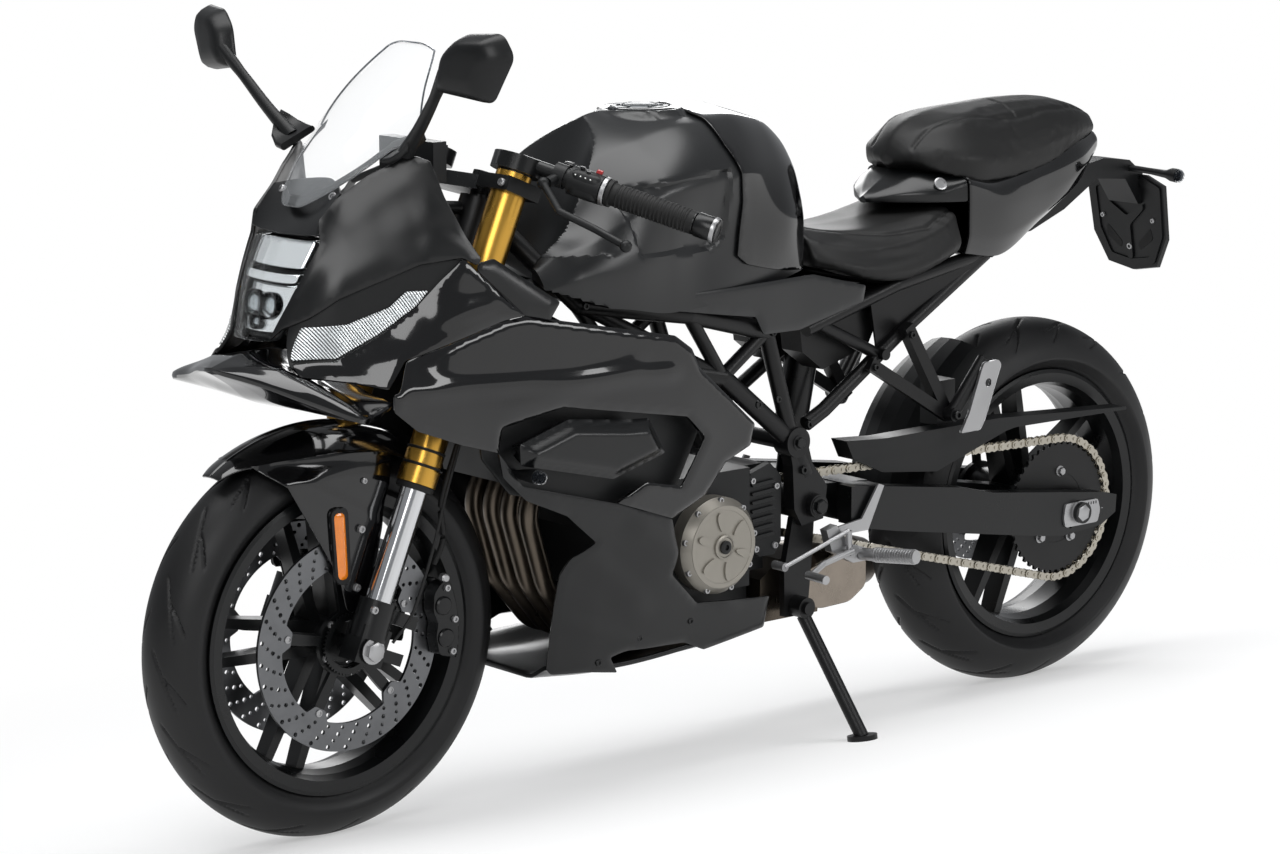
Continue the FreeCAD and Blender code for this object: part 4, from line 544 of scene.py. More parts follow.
HOUSE_LINE = [(838, 722), (820, 782), (790, 812), (708, 850), (640, 872), (600, 866), (600, 850), (660, 790),
              (700, 765), (779, 724)]
STRIP_LINE = [(834, 733), (812, 777), (762, 781), (707, 803), (684, 825), (655, 825), (673, 803), (725, 765),
              (779, 734)]
SIDE = [
    (815, [(180, 800), (196, 740), (226, 668), (224, 655), (200, 560), (170, 460), (130, 320), (100, 190)]),
    (706, [(186, 800), (195, 731), (216, 690), (216, 640), (205, 560), (176, 440), (134, 310), (100, 190)]),
    (620, [(192, 885), (208, 780), (219, 665), (216, 605), (208, 550), (172, 430), (134, 300), (98, 190)]),
    (550, [(196, 880), (216, 776), (226, 655), (221, 612), (212, 545), (170, 420), (130, 300), (100, 190)]),
    (447, [(204, 860), (222, 765), (231, 663), (230, 636), (212, 500), (178, 410), (142, 300), (120, 190)]),
    (335, [(214, 850), (225, 745), (232, 664), (232, 620), (216, 478), (190, 400), (166, 300), (146, 190)]),
    (220, [(216, 850), (226, 722), (229, 664), (230, 600), (211, 440), (196, 380), (172, 290), (150, 190)]),
    (120, [(214, 840), (222, 700), (224, 620), (222, 560), (218, 500), (198, 380), (170, 285), (150, 190)]),
    (0, [(210, 840), (216, 680), (218, 600), (218, 550), (212, 490), (190, 380), (164, 280), (146, 190)]),
    (-60, [(206, 840), (210, 680), (212, 600), (212, 550), (206, 490), (184, 380), (158, 280), (140, 190)]),
]
UPPER_LINE = [(744.6, 664), (744.6, 690), (735, 691), (706, 730.5), (548, 774.5), (509.6, 778.6), (232, 722),
              (199, 699), (183, 668), (66, 568), (74, 535), (123, 516), (161, 468), (224, 440), (335, 479),
              (282, 505), (211, 489), (171, 561), (210, 597), (447, 639), (556, 620), (559, 583), (626, 603),
              (703, 632)]
TRIM_LINE = [(509.6, 778.6), (582, 848), (578, 860), (552, 864), (444, 792), (466, 768), (488, 774)]
LOWER_LINE = [(559, 582.5), (511, 527), (335, 478.5), (224, 439.5), (203, 386), (204, 346), (141, 290),
              (-19, 275),
              (-16, 224), (111, 208), (154, 227), (270, 233), (299, 226), (282, 199), (343, 209), (400, 212),
              (408, 220), (410, 372), (398, 398), (359, 419), (424, 470), (500, 503), (548, 545)]
BACK_LINE = [(576, 632), (446, 654), (204, 610), (152, 562), (200, 472), (282, 488), (335, 462), (516, 512),
             (566, 570)]
POD_LINE = [(526, 592), (435, 619), (330, 606), (282, 603), (249, 546), (350, 519), (524, 561)]


def ridge(x, z, a, b, height, spread):
    """A soft crease along the line from a to b: highest on the line, gone at spread on both sides."""
    ax, az = a
    run = np.array([b[0] - ax, b[1] - az], float)
    length = np.hypot(*run)
    along = ((x - ax) * run[0] + (z - az) * run[1]) / length
    across = np.abs((x - ax) * run[1] - (z - az) * run[0]) / length
    ends = smooth_step(along, -spread, spread) * smooth_step(length - along, -spread, spread)
    return height * ends * (1 - smooth_step(across, 0, spread))


def nose_creases(x, z):
    """The nose top panel swells between its edges, with a crease that runs back from the lamp."""
    swell = 3.0 * smooth_step(edge_distance(NOSE_LINE, x, z), 0, 34)
    return swell + ridge(x, z, (800, 815), (640, 935), 2.5, 40)


def cheek_creases(x, z):
    """The cheek rolls in at its edges and carries a crease from the light strip down to the chin."""
    return ridge(x, z, (700, 780), (560, 800), 3.0, 26) - 2.0 * (1 - smooth_step(
        edge_distance(CHEEK_LINE, x, z), 0, 9))


def upper_creases(x, z):
    """The upper side panel: a long shoulder crease, a lower one over the opening and rolled edges."""
    return (ridge(x, z, (700, 690), (230, 668), 3.0, 22) + ridge(x, z, (560, 640), (300, 690), 2.0, 30)
            - 3.0 * (1 - smooth_step(edge_distance(UPPER_LINE, x, z), 0, 8)))


def lower_creases(x, z):
    """The lower side panel: two slanting creases, a rolled edge and a stepped foot line."""
    return (ridge(x, z, (470, 480), (250, 300), 4.0, 34) + ridge(x, z, (300, 440), (60, 280), 4.0, 30)
            + ridge(x, z, (400, 300), (200, 215), 3.0, 26)
            - 2.5 * (1 - smooth_step(edge_distance(LOWER_LINE, x, z), 0, 8)))


def strip_ribs(x, z):
    """The light strip's cover: fine ribs across it, 4 mm apart, and a rounded edge."""
    along = (x * 0.86 - z * 0.5) / 4.0
    return 0.7 * np.sin(along * 2 * math.pi) - 4.0 * (1 - smooth_step(edge_distance(STRIP_LINE, x, z), 0, 7))


def pod_form(x, z):
    """The pod on the duct: a flat face with a broad chamfer all round."""
    return -17.0 * (1 - smooth_step(edge_distance(POD_LINE, x, z), 0, 22))


nose = panel("nose_top_panels", FACE, NOSE_LINE, SATIN_PANEL, 5, shape=nose_creases, step=7)
cheeks = panel("cheek_panels", FACE, CHEEK_LINE, GLOSS_BLACK, 5, shape=cheek_creases, step=6)
lamp_bed = panel("light_strip_beds", FACE, HOUSE_LINE, SATIN_BLACK, 5, inset=7)
strips = panel("light_strip_covers", FACE, STRIP_LINE, CLEAR, 3, inset=-3, step=1.6, shape=strip_ribs,
               corner=3)
guides = panel("light_guides", FACE, STRIP_LINE, RIBBED_GUIDE, 3, inset=2.0, step=4, corner=3)
upper = panel("upper_side_panels", SIDE, UPPER_LINE, GLOSS_BLACK, 5, shape=upper_creases, step=7)
trims = panel("side_trim_panels", SIDE, TRIM_LINE, SATIN_PANEL, 5, step=7,
              shape=lambda x, z: -3.0 * (1 - smooth_step(edge_distance(TRIM_LINE, x, z), 0, 12)))
lower = panel("lower_side_panels", SIDE, LOWER_LINE, SATIN_PANEL, 5, shape=lower_creases, step=7)
pods = panel("duct_pods", [(600, [(238, 700), (238, 460)]), (200, [(238, 700), (238, 460)])], POD_LINE,
             SATIN_PANEL, 30, shape=pod_form, step=5)
walls = panel("duct_walls", [(600, [(184, 700), (184, 460)]), (100, [(184, 700), (184, 460)])], BACK_LINE,
              SATIN_BLACK, 4, step=12)

# The brow over the lamp joins the two nose panels and carries the screen's foot.
BROW = {82: [(774, 903), (779, 905), (773, 927), (738, 962), (735, 958)],
        45: [(781, 900), (787, 903), (760, 931), (716, 970), (713, 966)],
        0: [(785, 899), (791, 903), (752, 934), (700, 974), (697, 970)]}
brow_rows = [(side * y, row) for y, row in BROW.items() for side in ((-1, 1) if y else (1,))]
brow_y = np.linspace(-82, 82, 41)
brow_x, brow_z = section_rows(brow_rows, brow_y)
brow_table = np.stack([brow_x, np.repeat(brow_y[:, None], 5, 1), brow_z], -1)
brow = new_piece("lamp_brow", brow_table.reshape(-1, 3), grid_faces(41, 5), SATIN_PANEL, wall=3, bevel=0.8)
stands_for("nose_fairing", "gloss_black", nose, cheeks, lamp_bed, brow)

# The belly pan: half width, rim height and depth along X, flat in the middle and curled up at both sides.
belly_y = np.linspace(-1, 1, 25)
belly_x = np.linspace(-14, 402, 30)
half, rim, deep = (eased([-14, 120, 280, 402], row, belly_x) for row in (
    [147, 151, 148, 131], [234, 223, 214, 226], [207, 202, 197, 204]))
belly_z = deep[:, None] + (rim - deep)[:, None] * smooth_step(np.abs(belly_y), 0.6, 1.0)
belly_grid = np.stack([np.repeat(belly_x[:, None], 25, 1), half[:, None] * belly_y, belly_z], -1)
belly = new_piece("belly_pan", belly_grid.reshape(-1, 3), grid_faces(30, 25), SATIN_PANEL, wall=7, bevel=1)
stands_for("side_fairing_lower", "satin_black", lower, pods, walls, belly)
stands_for("side_fairing_upper", "gloss_black", upper, trims)
stands_for("light_strips", "clear_lens", strips, guides)

# Tank. The hull is smooth through its cross-sections, then recessed for the knees, the steering and the cap.

TANK = [
    (-118, [(0, 1000), (50, 985), (96, 930), (118, 850), (118, 775)]),
    (-60, [(0, 1018), (66, 1005), (120, 940), (140, 850), (132, 765)]),
    (10, [(0, 1034), (84, 1018), (148, 940), (150, 850), (150, 757)]),
    (110, [(0, 1040), (98, 1018), (172, 935), (160, 845), (172, 750)]),
    (200, [(0, 1036), (98, 1000), (182, 925), (182, 835), (182, 748)]),
    (290, [(0, 1004), (84, 968), (176, 890), (196, 825), (186, 762)]),
    (380, [(0, 930), (80, 905), (160, 860), (190, 815), (184, 775)]),
    (438, [(0, 860), (80, 850), (150, 830), (172, 800), (166, 785)]),
]
KNEE_LINE = [(293, 938), (61, 955), (74, 848), (113, 832), (274, 836)]
CAP_X, CAP_TOP, CAP_R = 112.0, 1040.0, 44.0
KNEE_DEEP = 7.0
STEM_BEHIND = 32.0  # from the fork legs back to the steering axis
STEER_ROOM, PUSH_LIMIT = 142.0, 160.0
FOOT_AHEAD = 328.0
BAR_HOLLOW = (345.0, 130.0)  # x and |y| of its middle
HOLLOW_DEEP, HOLLOW_IN = 20.0, 5.0
WELL_DEEP = 22.0


def tank_form(points):
    """Works the tank's recesses into its hull: knee panels with a firm edge, a cylinder round the steering
    axis pushed back out of the way, the lower edge cut back behind it, a hollow under the swinging bars as
    deep as a bell curve, and a round well for the cap with a flat rim."""
    x, y, z = points.T.copy()
    flank = smooth_step(np.abs(y), 96, 118)
    deep = KNEE_DEEP * np.where(inside(KNEE_LINE, x, z), smooth_step(edge_distance(KNEE_LINE, x, z), 0, 7), 0)
    y = y - np.sign(y) * deep * flank
    axis = np.array([FRONT_AXLE[0] - STEM_BEHIND * math.cos(RAKE),
                     FRONT_AXLE[2] - STEM_BEHIND * math.sin(RAKE)])
    ahead = (x - axis[0]) * math.cos(RAKE) + (z - axis[1]) * math.sin(RAKE)
    reach = np.sqrt(np.maximum(STEER_ROOM**2 - y**2, 0))
    push = np.where(np.abs(y) < STEER_ROOM, np.clip(ahead + reach, 0, PUSH_LIMIT), 0)
    x = x - push * math.cos(RAKE)
    z = z - push * math.sin(RAKE)
    above_foot = np.maximum(z - np.interp(x, [290, 380, 438], [762, 775, 785]), 0)
    foot_limit = FOOT_AHEAD + 6 * above_foot
    x = np.where((x > foot_limit) & (np.abs(y) > 100), foot_limit + 0.05 * (x - foot_limit), x)
    swept = np.exp(-(((x - BAR_HOLLOW[0]) / 48) ** 2) - ((np.abs(y) - BAR_HOLLOW[1]) / 42) ** 2) * (z > 850)
    z = z - HOLLOW_DEEP * swept
    y = y - np.sign(y) * HOLLOW_IN * swept
    round_cap = np.hypot(x - CAP_X, y)
    well = (z > 960) * (1 - smooth_step(round_cap, CAP_R + 3, CAP_R + 7))
    z = z * (1 - well) + np.minimum(z, CAP_TOP - WELL_DEEP) * well
    rim = smooth_step(round_cap, CAP_R + 3, CAP_R + 8) * (1 - smooth_step(round_cap, CAP_R + 20, CAP_R + 30))
    rim = (z > 960) * rim
    z = z * (1 - rim) + (CAP_TOP - 3) * rim
    return np.stack([x, y, z], 1)


tank_points, tank_faces = hull(TANK, columns=64, step=5, crease=0.3)
tank = new_piece("tank_shell", tank_form(tank_points), tank_faces, TANK_GREY, sharp=30)
SKIRT_LINE = [(196, 772), (190, 748), (62, 727), (15, 720), (-4, 690), (-90, 687), (-236, 716), (-240, 742),
              (-118, 772)]
skirts = panel("tank_skirts", [
    (205, [(180, 775), (174, 735)]), (100, [(174, 775), (170, 716)]), (0, [(163, 785), (161, 680)]),
    (-100, [(151, 792), (148, 675)]), (-245, [(141, 765), (137, 705)])], SKIRT_LINE, TANK_GREY, 4,
    shape=lambda x, z: -2.0 * (1 - smooth_step(edge_distance(SKIRT_LINE, x, z), 0, 8)))
cap_ring = new_piece("filler_housing", *lathe(
    [(CAP_R + 1.5, -20), (CAP_R + 1.5, -3), (CAP_R + 3, -1), (CAP_R + 12, -1), (CAP_R + 16, -4),
     (CAP_R + 17, -14)], (CAP_X, 0, CAP_TOP), (0, 0, 1), 64), GLOSS_BLACK)
stands_for("fuel_tank", "tank_grey", tank, skirts, cap_ring)

# Gloss cover over the tank's rear: an outline on the hull's own surface, laid out flat as (x, way round).

COVER = [
    (-146, [(0, 955), (48, 945), (80, 900), (92, 850), (88, 778)]),
    (-118, [(0, 1001), (54, 987), (100, 932), (122, 851), (122, 775)]),
    (-60, [(0, 1026), (70, 1013), (126, 944), (146, 852), (138, 765)]),
    (10, [(0, 1040), (86, 1024), (152, 944), (155, 852), (155, 757)]),
    (90, [(0, 1044), (98, 1024), (174, 940), (164, 850), (174, 752)]),
]
COVER_LINE = [(68, 1042), (60, 990), (44, 945), (40, 900), (52, 818), (30, 803), (-128, 771), (-144, 850),
              (-144, 930), (-116, 978), (-20, 1034)]
ROUND = 330.0


def on_cover(x, way):
    """Points of the cover's surface at x and a share of the way round: -1 on the right, 1 on the left."""
    rows_y, rows_z = section_rows(COVER, x)
    length = arc_length(rows_y, rows_z)
    y, z = (eased(length, rows, np.abs(way) * length[:, -1], 0.3) for rows in (rows_y, rows_z))
    return np.stack([x, np.sign(way) * y, z], 1)


def way_round(x, z):
    """The share of the way round at which the cover's surface has the height z at x."""
    ways = np.linspace(0, 1, 60)
    heights = np.stack([on_cover(np.full(1, x), np.full(1, w))[0, 2] for w in ways])
    return float(np.interp(-z, -heights, ways))


left_edge = [(x, way_round(x, z) * ROUND) for x, z in COVER_LINE]
right_edge = [(x, -w) for x, w in reversed(left_edge)]
cover_flat, cover_faces = fill(left_edge + right_edge, 8)
cover_points = on_cover(cover_flat[:, 0], cover_flat[:, 1] / ROUND)
cover = new_piece("tank_rear_cover_shell", cover_points, cover_faces, GLOSS_BLACK, wall=3, bevel=0.8)
stands_for("tank_rear_cover", "gloss_black", cover)

# Tail, cowl and chin, smooth through the same cross-sections as in the source

TAIL = [
    (-486, [(0, 896), (96, 892), (116, 886), (118, 850), (118, 800), (110, 770)]),
    (-570, [(0, 884), (90, 882), (108, 868), (112, 840), (108, 790), (98, 758)]),
    (-690, [(0, 896), (80, 894), (92, 880), (92, 850), (88, 818), (78, 804)]),
    (-790, [(0, 920), (62, 918), (74, 898), (74, 876), (68, 856), (58, 848)]),
    (-864, [(0, 932), (34, 931), (42, 922), (42, 912), (36, 900), (30, 894)]),
]
tail_x, tail_y, tail_z = hull(TAIL, columns=44, step=7, crease=0.5, bottom=False)
tail_grid = np.stack([np.repeat(tail_x[:, None], 44, 1), tail_y, tail_z], -1)
tail_grid = np.concatenate([tail_grid, tail_grid[:, ::-1] * [1, -1, 1]], 1)
tail_shell = closed_poles(tail_grid.reshape(-1, 3), grid_faces(len(tail_x), 88)[:, ::-1])
tail = new_piece("tail_shell", *tail_shell, GLOSS_BLACK, wall=4, bevel=0.8)
stands_for("tail_fairing", "gloss_black", tail)
COWL = [
    (-362, [(0, 862), (6, 858), (8, 854), (6, 851), (0, 850)]),
    (-400, [(0, 884), (36, 880), (62, 866), (60, 853), (0, 853)]),
    (-438, [(0, 902), (60, 896), (96, 868), (94, 853), (0, 853)]),
    (-485.7, [(0, 896), (96, 892), (115, 885), (117, 853), (0, 853)]),
]
cowl = new_piece("seat_cowl", *hull(COWL, columns=36, step=5, crease=0.5), SATIN_PANEL)
stands_for("lock_panels", "satin_black", cowl)
CHIN = [
    (908, [(0, 719), (8, 718), (16, 717), (16, 711), (8, 710), (0, 709)]),
    (880, [(0, 728), (40, 722), (80, 706), (80, 699), (40, 694), (0, 691)]),
    (849, [(0, 736), (84, 720), (150, 688), (150, 680), (70, 670), (0, 667)]),
    (819, [(0, 738), (114, 708), (236, 670), (235, 661), (110, 660), (0, 656)]),
    (793, [(0, 736), (134, 696), (226, 666), (222, 657), (116, 655), (0, 650)]),
    (745, [(0, 728), (150, 686), (210, 676), (206, 668), (130, 656), (0, 650)]),
]
chin = new_piece("chin_lip", *hull(CHIN, columns=60, step=4, crease=0.6), GLOSS_BLACK)
stands_for("chin_splitter", "gloss_black", chin)

# Wheels: tread and disc holes

GROOVE_DEEP = 3.6


def tyre(name, body, axle, radius, half, crown, bead_half, pitches, finish):
    """A tyre turned from its section: a round crown, sidewalls and beads. Slanted grooves sink into the
    tread, alternately left and right: two long families from the middle, two short ones on the shoulders."""
    arc = math.asin(min(half / crown, 1))
    across = np.linspace(-arc, arc, 73)
    wide = crown * np.sin(across)
    tall = radius - crown + crown * np.cos(across)
    low = np.array([(bead_half - 6, 217.0), (bead_half - 1, 229.0), (half * 0.84, 238.0),
                    (half * 0.97, 247.0)])
    low = low[low[:, 1] < tall[-1] - 2]
    wide = np.concatenate([-low[:, 0], wide, low[::-1, 0]])
    tall = np.concatenate([low[:, 1], tall, low[::-1, 1]])
    run = np.concatenate([np.full(len(low), -99.0), crown * across, np.full(len(low), 99.0)])
    turns = 900
    turn = np.arange(turns) / turns * 2 * math.pi
    share = turn[:, None] / (2 * math.pi) * pitches
    depth = np.zeros((turns, len(run)))
    for hand, start, low_s, high_s, travel in ((1, 0.0, 7, 0.74, 0.92), (-1, 0.5, 7, 0.74, 0.92),
                                               (1, 0.36, 0.42 * half, 1.0, 0.46),
                                               (-1, 0.86, 0.42 * half, 1.0, 0.46)):
        out = run[None] * hand
        part_way = (out - low_s) / (half * high_s - low_s)
        line = start + travel * (0.55 * part_way + 0.45 * part_way ** 2)
        gap = np.abs((share - line + 0.5) % 1.0 - 0.5) * 2 * math.pi * radius / pitches * 0.5
        ends = smooth_step(out, low_s, low_s + 5) * (1 - smooth_step(out, half * high_s - 6,
                                                                     half * high_s + 1))
        depth += GROOVE_DEEP * ends * (1 - smooth_step(gap, 0.8, 2.3))
    tall = tall[None] - depth
    ring = np.stack([tall * np.sin(turn)[:, None], np.repeat(wide[None], turns, 0),
                     tall * np.cos(turn)[:, None]], -1)
    faces = grid_faces(turns, len(run), wrap_rows=True, wrap_columns=True)
    return new_piece(name, (ring + axle).reshape(-1, 3), faces[:, ::-1], finish, body=body, sharp=60)


front_tyre = tyre("front_tyre_treaded", "front_wheel", FRONT_AXLE, 300, 59.6, 62, 44, 17, TYRE_RUBBER)
rear_tyre = tyre("rear_tyre_treaded", "rear_wheel", REAR_AXLE, 312, 79.6, 82, 56, 19, TYRE_RUBBER)
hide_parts("front_tyre")
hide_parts("rear_tyre")


def mirror_of(shape):
    """A left-hand shape and its right-hand mirror image, in one."""
    points, faces = shape
    points = np.asarray(points, float)
    return gathered((points, faces), (points * [1, -1, 1], [tuple(f)[::-1] for f in faces]))


def outward_sheet(points, faces, aim):
    """Turns an open sheet's faces round so that they face the aim on the whole."""
    faces = np.asarray(faces)
    normal = np.cross(points[faces[:, 1]] - points[faces[:, 0]],
                      points[faces[:, 2]] - points[faces[:, 0]]).sum(0)
    return points, (faces if normal @ np.asarray(aim, float) > 0 else faces[:, ::-1])


def outward(shape):
    """Turns a closed shape's faces round where its volume comes out negative."""
    points, faces = shape
    points = np.asarray(points, float)
    volume = 0.0
    for face in faces:
        for b, c in zip(face[1:-1], face[2:]):
            volume += points[face[0]] @ np.cross(points[b], points[c])
    return (points, faces) if volume > 0 else (points, [tuple(f)[::-1] for f in faces])


def ring_points(radius, count, centre=(0.0, 0.0)):
    """Points of a circle."""
    angle = np.arange(count) / count * 2 * math.pi
    return np.stack([centre[0] + radius * np.cos(angle), centre[1] + radius * np.sin(angle)], 1)


def plate(flat, faces, low, high):
    """A flat filled outline given thickness: (x, z) points from y low to y high, closed round every edge."""
    count = len(flat)
    near = np.stack([flat[:, 0], np.full(count, high), flat[:, 1]], 1)
    far = near.copy()
    far[:, 1] = low
    edges = {}
    for a, b, c in faces:
        for edge in ((a, b), (b, c), (c, a)):
            edges[edge] = edges.get(edge, 0) + 1
    rim = [(b, a) for a, b in edges if (b, a) not in edges]
    out = [tuple(f[::-1]) for f in faces] + [tuple(i + count for i in f) for f in faces]
    out += [(b, a, a + count, b + count) for b, a in rim]
    return np.concatenate([near, far]), out


def slab(outline, step, low, high, holes=()):
    """A filled outline given thickness."""
    return plate(*fill(outline, step, holes), low, high)


def one_piece(name, shapes, finish, body="chassis", **more):
    """A piece made of several shapes."""
    return new_piece(name, *gathered(*shapes), finish, body, **more)


def both_sides(name, shapes, finish, body="chassis", **more):
    """A piece made of several left-hand shapes and their mirror images."""
    return new_piece(name, *mirror_of(gathered(*shapes)), finish, body, **more)


def polar(radius, degrees):
    """Points (x, z) by their radius and angle."""
    turn = np.radians(degrees)
    return np.stack([radius * np.cos(turn), radius * np.sin(turn)], -1)


DISC_THICK, CARRIER_THICK, LOBE_DEEP, HOLE_ROWS = 5.0, 7.0, 15, 30


def brake_disc(radius, inner, middle_y, axle, lobes, phase):
    """A drilled disc: holes on slanting lines, and lobes inside where it is riveted. Its inner edge is a
    circle that steps inwards wherever a cosine of the angle is near one."""
    angle = np.arange(360) / 360 * 2 * math.pi
    lobe = np.cos((angle - phase) * lobes)
    edge = inner - LOBE_DEEP * smooth_step(lobe, 0.6, 0.93)
    holes = [np.stack([edge * np.cos(angle), edge * np.sin(angle)], 1)[::2]]
    for k in range(HOLE_ROWS):
        for j, share in enumerate((0.14, 0.38, 0.62, 0.86)):
            at = 2 * math.pi * (k + 0.25 * j) / HOLE_ROWS + phase
            r = inner + (radius - inner) * share
            holes.append(ring_points(3.6 if j % 2 else 3.0, 9, (r * math.cos(at), r * math.sin(at))))
    points, out = slab(ring_points(radius, 160), 7, middle_y - DISC_THICK / 2, middle_y + DISC_THICK / 2,
                       holes)
    return points + axle, out


def carrier_arms(middle_y, axle, arms, inner, outer, phase):
    """The hub flange with one slim arm to each lobe of the disc."""
    angle = np.arange(720) / 720 * 2 * math.pi
    lobe = np.cos((angle - phase) * arms)
    edge = inner + (outer - inner) * smooth_step(lobe, 0.78, 0.95)
    loop = np.stack([edge * np.cos(angle), edge * np.sin(angle)], 1)[::2]
    points, out = slab(loop, 8, middle_y - CARRIER_THICK / 2, middle_y + CARRIER_THICK / 2,
                       [ring_points(inner - 16, 40)])
    return points + axle, out


SPOKE_PHASE = math.radians(12)
front_discs = both_sides("front_discs_drilled", [brake_disc(160, 118, 66, FRONT_AXLE, 5, SPOKE_PHASE)],
                         DISC_STEEL, "front_wheel")
rear_disc = new_piece("rear_disc_drilled", *brake_disc(120, 88, -88, REAR_AXLE, 5, SPOKE_PHASE), DISC_STEEL,
                      "rear_wheel")
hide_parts("front_discs")
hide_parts("rear_disc")
both_sides("front_disc_carriers", [carrier_arms(61, FRONT_AXLE, 5, 50, 110, SPOKE_PHASE)], CAST_BLACK,
           "front_wheel", bevel=1)
new_piece("rear_disc_carrier", *carrier_arms(-84, REAR_AXLE, 5, 52, 82, SPOKE_PHASE), CAST_BLACK,
          "rear_wheel", bevel=1)

# Bolts: a domed cap screw with a round socket, turned round its axis


def cap_screw(at, aim, radius, high=None):
    """A socket cap screw: a rounded head with a round socket, standing on the surface at a point."""
    high = radius * 0.8 if high is None else high
    profile = [(0.0, -1.0), (radius, -1.0), (radius, high * 0.75), (radius * 0.86, high),
               (radius * 0.5, high), (radius * 0.46, high * 0.45), (0.0, high * 0.4)]
    return lathe(profile, at, aim, 18)


def cap_screws(*spots, aim=(0, 1, 0)):
    """Cap screws that point the same way, each given as (x, y, z, head radius)."""
    return [cap_screw(spot[:3], aim, spot[3]) for spot in spots]


def hex_bolt(at, aim, radius, high):
    """A hexagon bolt head on a round flange."""
    flange = lathe([(0.0, -1.0), (radius * 1.3, -1.0), (radius * 1.3, 1.0), (radius, 1.6), (0.0, 1.6)], at,
                   aim, 24)
    head = lathe([(0.0, 0.5), (radius, 0.5), (radius, high * 0.85), (radius * 0.85, high), (0.0, high)], at,
                 aim, 6)
    return gathered(flange, head)


def turned_about(axle, radius, count, y, phase=0.0):
    """Points spaced round an axle at one height y."""
    return [(axle[0] + radius * math.cos(a), y, axle[2] + radius * math.sin(a))
            for a in np.arange(count) / count * 2 * math.pi + phase]


LEFT, RIGHT = (0, 1, 0), (0, -1, 0)
RIVET = [(0, 0), (5.4, 0), (5.4, 1.2), (3.2, 1.8), (3.2, 0.6), (0, 0.6)]
RIVET_BACK = [(0, 0), (5.4, 0), (5.4, 1.2), (0, 1.8)]
rivets = [lathe(profile, p, aim, 16) for profile, y, aim in ((RIVET, 69, LEFT), (RIVET_BACK, -69, RIGHT))
          for p in turned_about(FRONT_AXLE, 110, 5, y, SPOKE_PHASE)]
rivets += [cap_screw(p, LEFT, 6) for p in turned_about(FRONT_AXLE, 42, 5, 65, 0.84)]
one_piece("front_disc_rivets", rivets, SILVER, "front_wheel")
one_piece("sprocket_bolts", [hex_bolt(p, LEFT, 7, 8) for p in turned_about(REAR_AXLE, 62, 5, 102.3, 0.4)],
          SILVER, "rear_wheel")
sensor_teeth = ring_points(44 + 3 * (np.arange(192) % 4 < 2), 192)
sensor_points, sensor_faces = slab(sensor_teeth, 6, 70.2, 72.2, [ring_points(36, 40)])
new_piece("speed_sensor_ring", sensor_points + FRONT_AXLE, sensor_faces, CAST_BLACK, "front_wheel")

# Seats: padded, from the part's own solids, swelled a little under their cover, then sewn


def vertex_rows(mesh, what):
    """A mesh's vertex places ("co") or normals, one row each."""
    rows = np.empty(len(mesh.vertices) * 3)
    mesh.vertices.foreach_get(what, rows)
    return rows.reshape(-1, 3)


BASE_SHARE = 0.12  # the lowest share of a seat, which stays on its base
SEAM_DEEP, SEAM_WIDE = 0.0021, 3.4


def padded_seat(node, name, cap, shrink, seams):
    """A stuffed seat: a copy of the solid is remeshed at 5.5 mm, drawn in, swelled by cloth pressure, held
    to within the cap and subdivided once. Each seam is then pressed in along a line on its top, as deep as a
    bell curve of the distance from that line."""
    copy = part[node].data.copy()
    copy.name = name
    bm = bmesh.new()
    bm.from_mesh(copy)
    bmesh.ops.remove_doubles(bm, verts=bm.verts, dist=1e-5)
    bm.to_mesh(copy)
    bm.free()
    seat = placed(name, copy)
    add_modifier(seat, "REMESH", mode="VOXEL", voxel_size=0.0055)
    add_modifier(seat, "SMOOTH", factor=0.5, iterations=2)
    seat.data = bake_modifiers(seat)
    start = vertex_rows(seat.data, "co")
    shrunk = start - vertex_rows(seat.data, "normal") * shrink
    seat.data.vertices.foreach_set("co", shrunk.ravel())
    group = seat.vertex_groups.new(name="base")
    low = shrunk[:, 2] < np.quantile(shrunk[:, 2], BASE_SHARE)
    group.add([int(i) for i in np.flatnonzero(low)], 1.0, "REPLACE")
    settings = add_modifier(seat, "CLOTH").settings
    settings.use_pressure = True
    settings.uniform_pressure_force = 4
    settings.effector_weights.gravity = 0
    settings.tension_stiffness = 30
    settings.vertex_group_mass = "base"
    for step in range(1, 15):
        bpy.context.scene.frame_set(step)
    seat.data = bake_modifiers(seat)
    bpy.context.scene.frame_set(1)
    seat.vertex_groups.clear()
    shift = vertex_rows(seat.data, "co") - start
    length = np.linalg.norm(shift, axis=1)
    shrunk = start + shift * np.minimum(1, cap / np.maximum(length, 1e-9))[:, None]
    seat.data.vertices.foreach_set("co", shrunk.ravel())
    seat.data.materials.clear()
    seat.data.materials.append(VINYL)
    add_modifier(seat, "SMOOTH", factor=0.5, iterations=2)
    add_modifier(seat, "SUBSURF", levels=1, render_levels=1)
    seat.data = bake_modifiers(seat)
    spot, normal = vertex_rows(seat.data, "co"), vertex_rows(seat.data, "normal")
    flat = unleaned(spot)
    sunk = np.zeros(len(spot))
    for line in seams:
        gap = edge_distance_open(np.asarray(line, float), flat[:, 0], np.abs(flat[:, 1]))
        sunk = np.maximum(sunk, SEAM_DEEP * np.exp(-(gap / SEAM_WIDE) ** 2))
    spot -= normal * (sunk * smooth_step(normal[:, 2], 0.2, 0.5))[:, None]
    seat.data.vertices.foreach_set("co", spot.ravel())
    seat.data.shade_smooth()
    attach(seat, "chassis")
    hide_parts(node)


